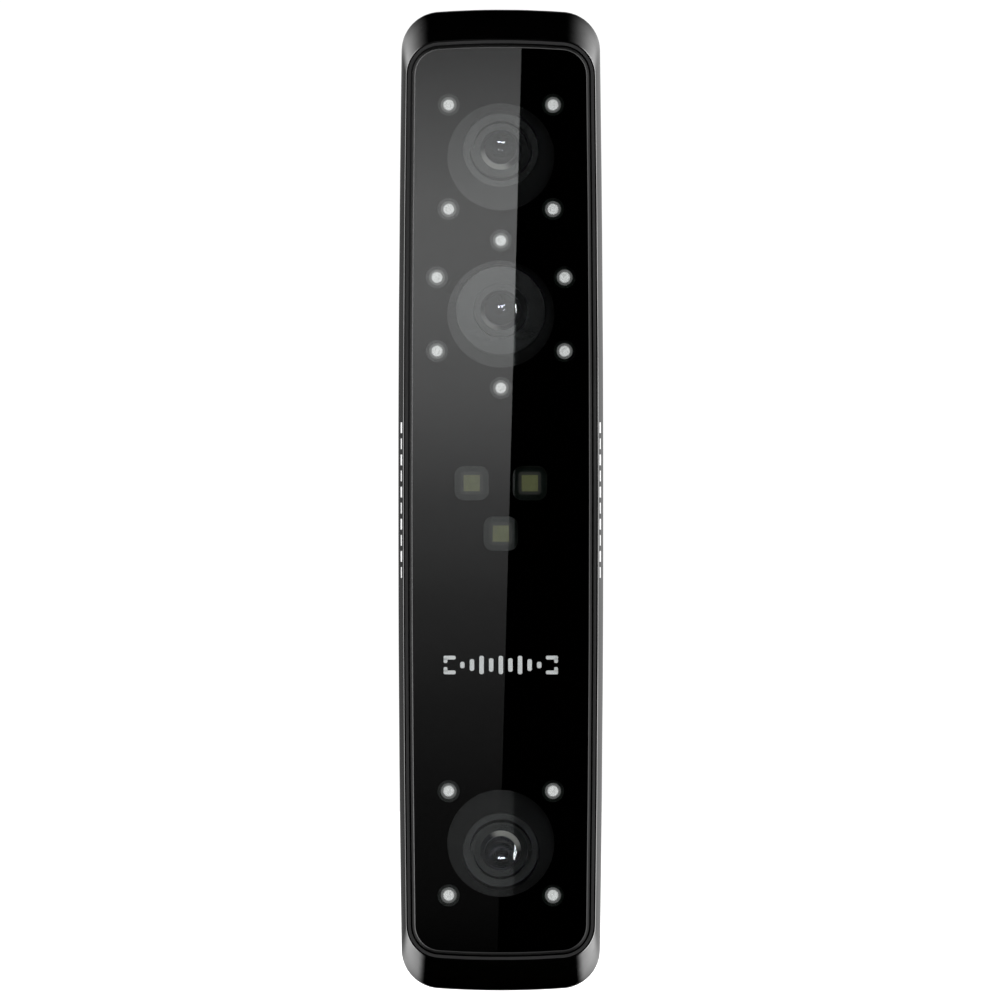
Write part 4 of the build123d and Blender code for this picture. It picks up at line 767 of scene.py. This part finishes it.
def glossy_surroundings(tree, x, y, z):
    """What gloss reflects in each direction: dark straight ahead and behind, with lights all round."""
    across = maths(tree, "ABSOLUTE", x)
    off_axis = maths(tree, "SQRT", maths(tree, "ADD", squared(tree, x), squared(tree, z)))
    azimuth = maths(tree, "ARCTAN2", across, maths(tree, "ABSOLUTE", z))
    right = ramp_value(tree, x, -0.02, 0.02)
    start = ramp_linear(tree, right, 0.0, 1.0, *map(math.radians, TOP_LIGHT_START))
    per_degree = ramp_linear(tree, right, 0.0, 1.0, *(1.0 / angle for angle in TOP_LIGHT_GROWTH))
    past = maths(tree, "MAXIMUM", maths(tree, "SUBTRACT", azimuth, start), 0.0)
    per_radian = maths(tree, "MULTIPLY", per_degree, math.degrees(1.0))
    top = squared(tree, maths(tree, "MULTIPLY", past, per_radian))
    step = ramp_value(tree, azimuth, *map(math.radians, BOTTOM_STEP), 0.0, BOTTOM_STEP_LIGHT)
    bottom = ramp_linear(tree, azimuth, *map(math.radians, BOTTOM_RAMP), 0.0, BOTTOM_RAMP_LIGHT)
    brighter = maths(tree, "MULTIPLY_ADD", right, BOTTOM_RIGHT_EXTRA, 1.0)
    bottom = maths(tree, "MULTIPLY", maths(tree, "ADD", bottom, step), brighter)
    upward = ramp_value(tree, z, -0.02, 0.02)
    corner = mixed_value(tree, upward, bottom, top)
    sideways = ramp_value(tree, azimuth, *map(math.radians, SIDE_LIGHT_START))
    near = ramp_linear(tree, right, 0.0, 1.0, *SIDE_LIGHT_NEAR)
    bevel = ramp_linear(tree, right, 0.0, 1.0, *BEVEL_LIGHT)
    far = mixed_value(tree, ramp_value(tree, y, 0.1, 0.3), SIDE_LIGHT_FAR, bevel)
    low = mixed_value(tree, sideways, maths(tree, "MULTIPLY", corner, 0.3), near)
    high = mixed_value(tree, sideways, maths(tree, "MULTIPLY", corner, 1.9), far)
    behind = mixed_value(tree, ramp_value(tree, off_axis, 0.15, 0.85), low, high)
    tilt = maths(tree, "MULTIPLY_ADD", x, -0.9, maths(tree, "MULTIPLY_ADD", z, 0.55, 2.2))
    tilt = maths(tree, "ADD", tilt, maths(tree, "MULTIPLY", squared(tree, z), -1.35))
    ahead = maths(tree, "MULTIPLY", tilt, ramp_value(tree, off_axis, 0.35, 0.9))
    return mixed_value(tree, ramp_value(tree, y, -0.25, -0.08), ahead, behind)


def make_world():
    """White surroundings for the camera, even light for matt surfaces, soft lights for gloss."""
    world = bpy.data.worlds.new("studio")
    world.use_nodes = True
    tree = world.node_tree
    tree.nodes.clear()
    direction = put(tree, "ShaderNodeTexCoord").outputs["Generated"]
    gloss = glossy_surroundings(tree, *put(tree, "ShaderNodeSeparateXYZ", {0: direction}).outputs)
    path = put(tree, "ShaderNodeLightPath").outputs
    strength = mixed_value(tree, path["Is Glossy Ray"], 0.75, gloss)
    strength = mixed_value(tree, path["Is Camera Ray"], strength, 1.05)
    background = put(tree, "ShaderNodeBackground", {"Color": (1, 1, 1, 1), "Strength": strength})
    out = tree.nodes.new("ShaderNodeOutputWorld")
    tree.links.new(background.outputs[0], out.inputs["Surface"])
    world.cycles.sampling_method = "NONE"
    bpy.context.scene.world = world


def add_light(name, place, size, power, height=None):
    """A soft area light that points at the scanner and lights matt surfaces only."""
    data = bpy.data.lights.new(name, "AREA")
    data.shape = "RECTANGLE"
    data.size = size
    data.size_y = height or size
    data.energy = power
    light = bpy.data.objects.new(name, data)
    bpy.context.scene.collection.objects.link(light)
    light.location = place
    light.rotation_euler = (-Vector(place)).to_track_quat("-Z", "Y").to_euler()
    light.visible_camera = False
    light.visible_glossy = False
    return light


def make_lights():
    """A front light, one on each side, one above and behind, and a glint for the lenses."""
    add_light("front", (0.1, -2.4, 0.25), 0.7, 30.0)
    add_light("right", (1.8, 0.4, 0.2), 0.8, 14.0)
    add_light("left", (-1.8, 0.4, 0.2), 0.8, 6.0)
    add_light("above", (0.2, 1.4, 1.6), 1.2, 18.0)
    glint = add_light("glint", (0.03, -1.0, 0.0), 0.34, 6.5, height=0.11)
    glint.visible_glossy = True
    glint.data.use_shadow = False
    lit = bpy.data.collections.new("lenses")
    lit.objects.link(nodes["lens_elements"])
    glint.light_linking.receiver_collection = lit


def make_camera():
    """Long lens, straight on to the glass front."""
    data = bpy.data.cameras.new("camera")
    data.sensor_width = 36.0
    data.lens = 36.0 * CAMERA_DISTANCE / VIEW_HEIGHT
    data.clip_end = 30.0
    camera = bpy.data.objects.new("camera", data)
    bpy.context.scene.collection.objects.link(camera)
    camera.location = (CAMERA_X, -CAMERA_DISTANCE, CAMERA_Z)
    camera.rotation_euler = (math.pi / 2, 0.0, 0.0)
    bpy.context.scene.camera = camera


def main():
    """Builds the looks round the fixed frame."""
    materials = make_materials()
    dress(materials)
    make_prints(materials)
    window_card()
    make_floor()
    make_world()
    make_lights()
    make_camera()
    bpy.context.scene.view_settings.view_transform = "Standard"


main()
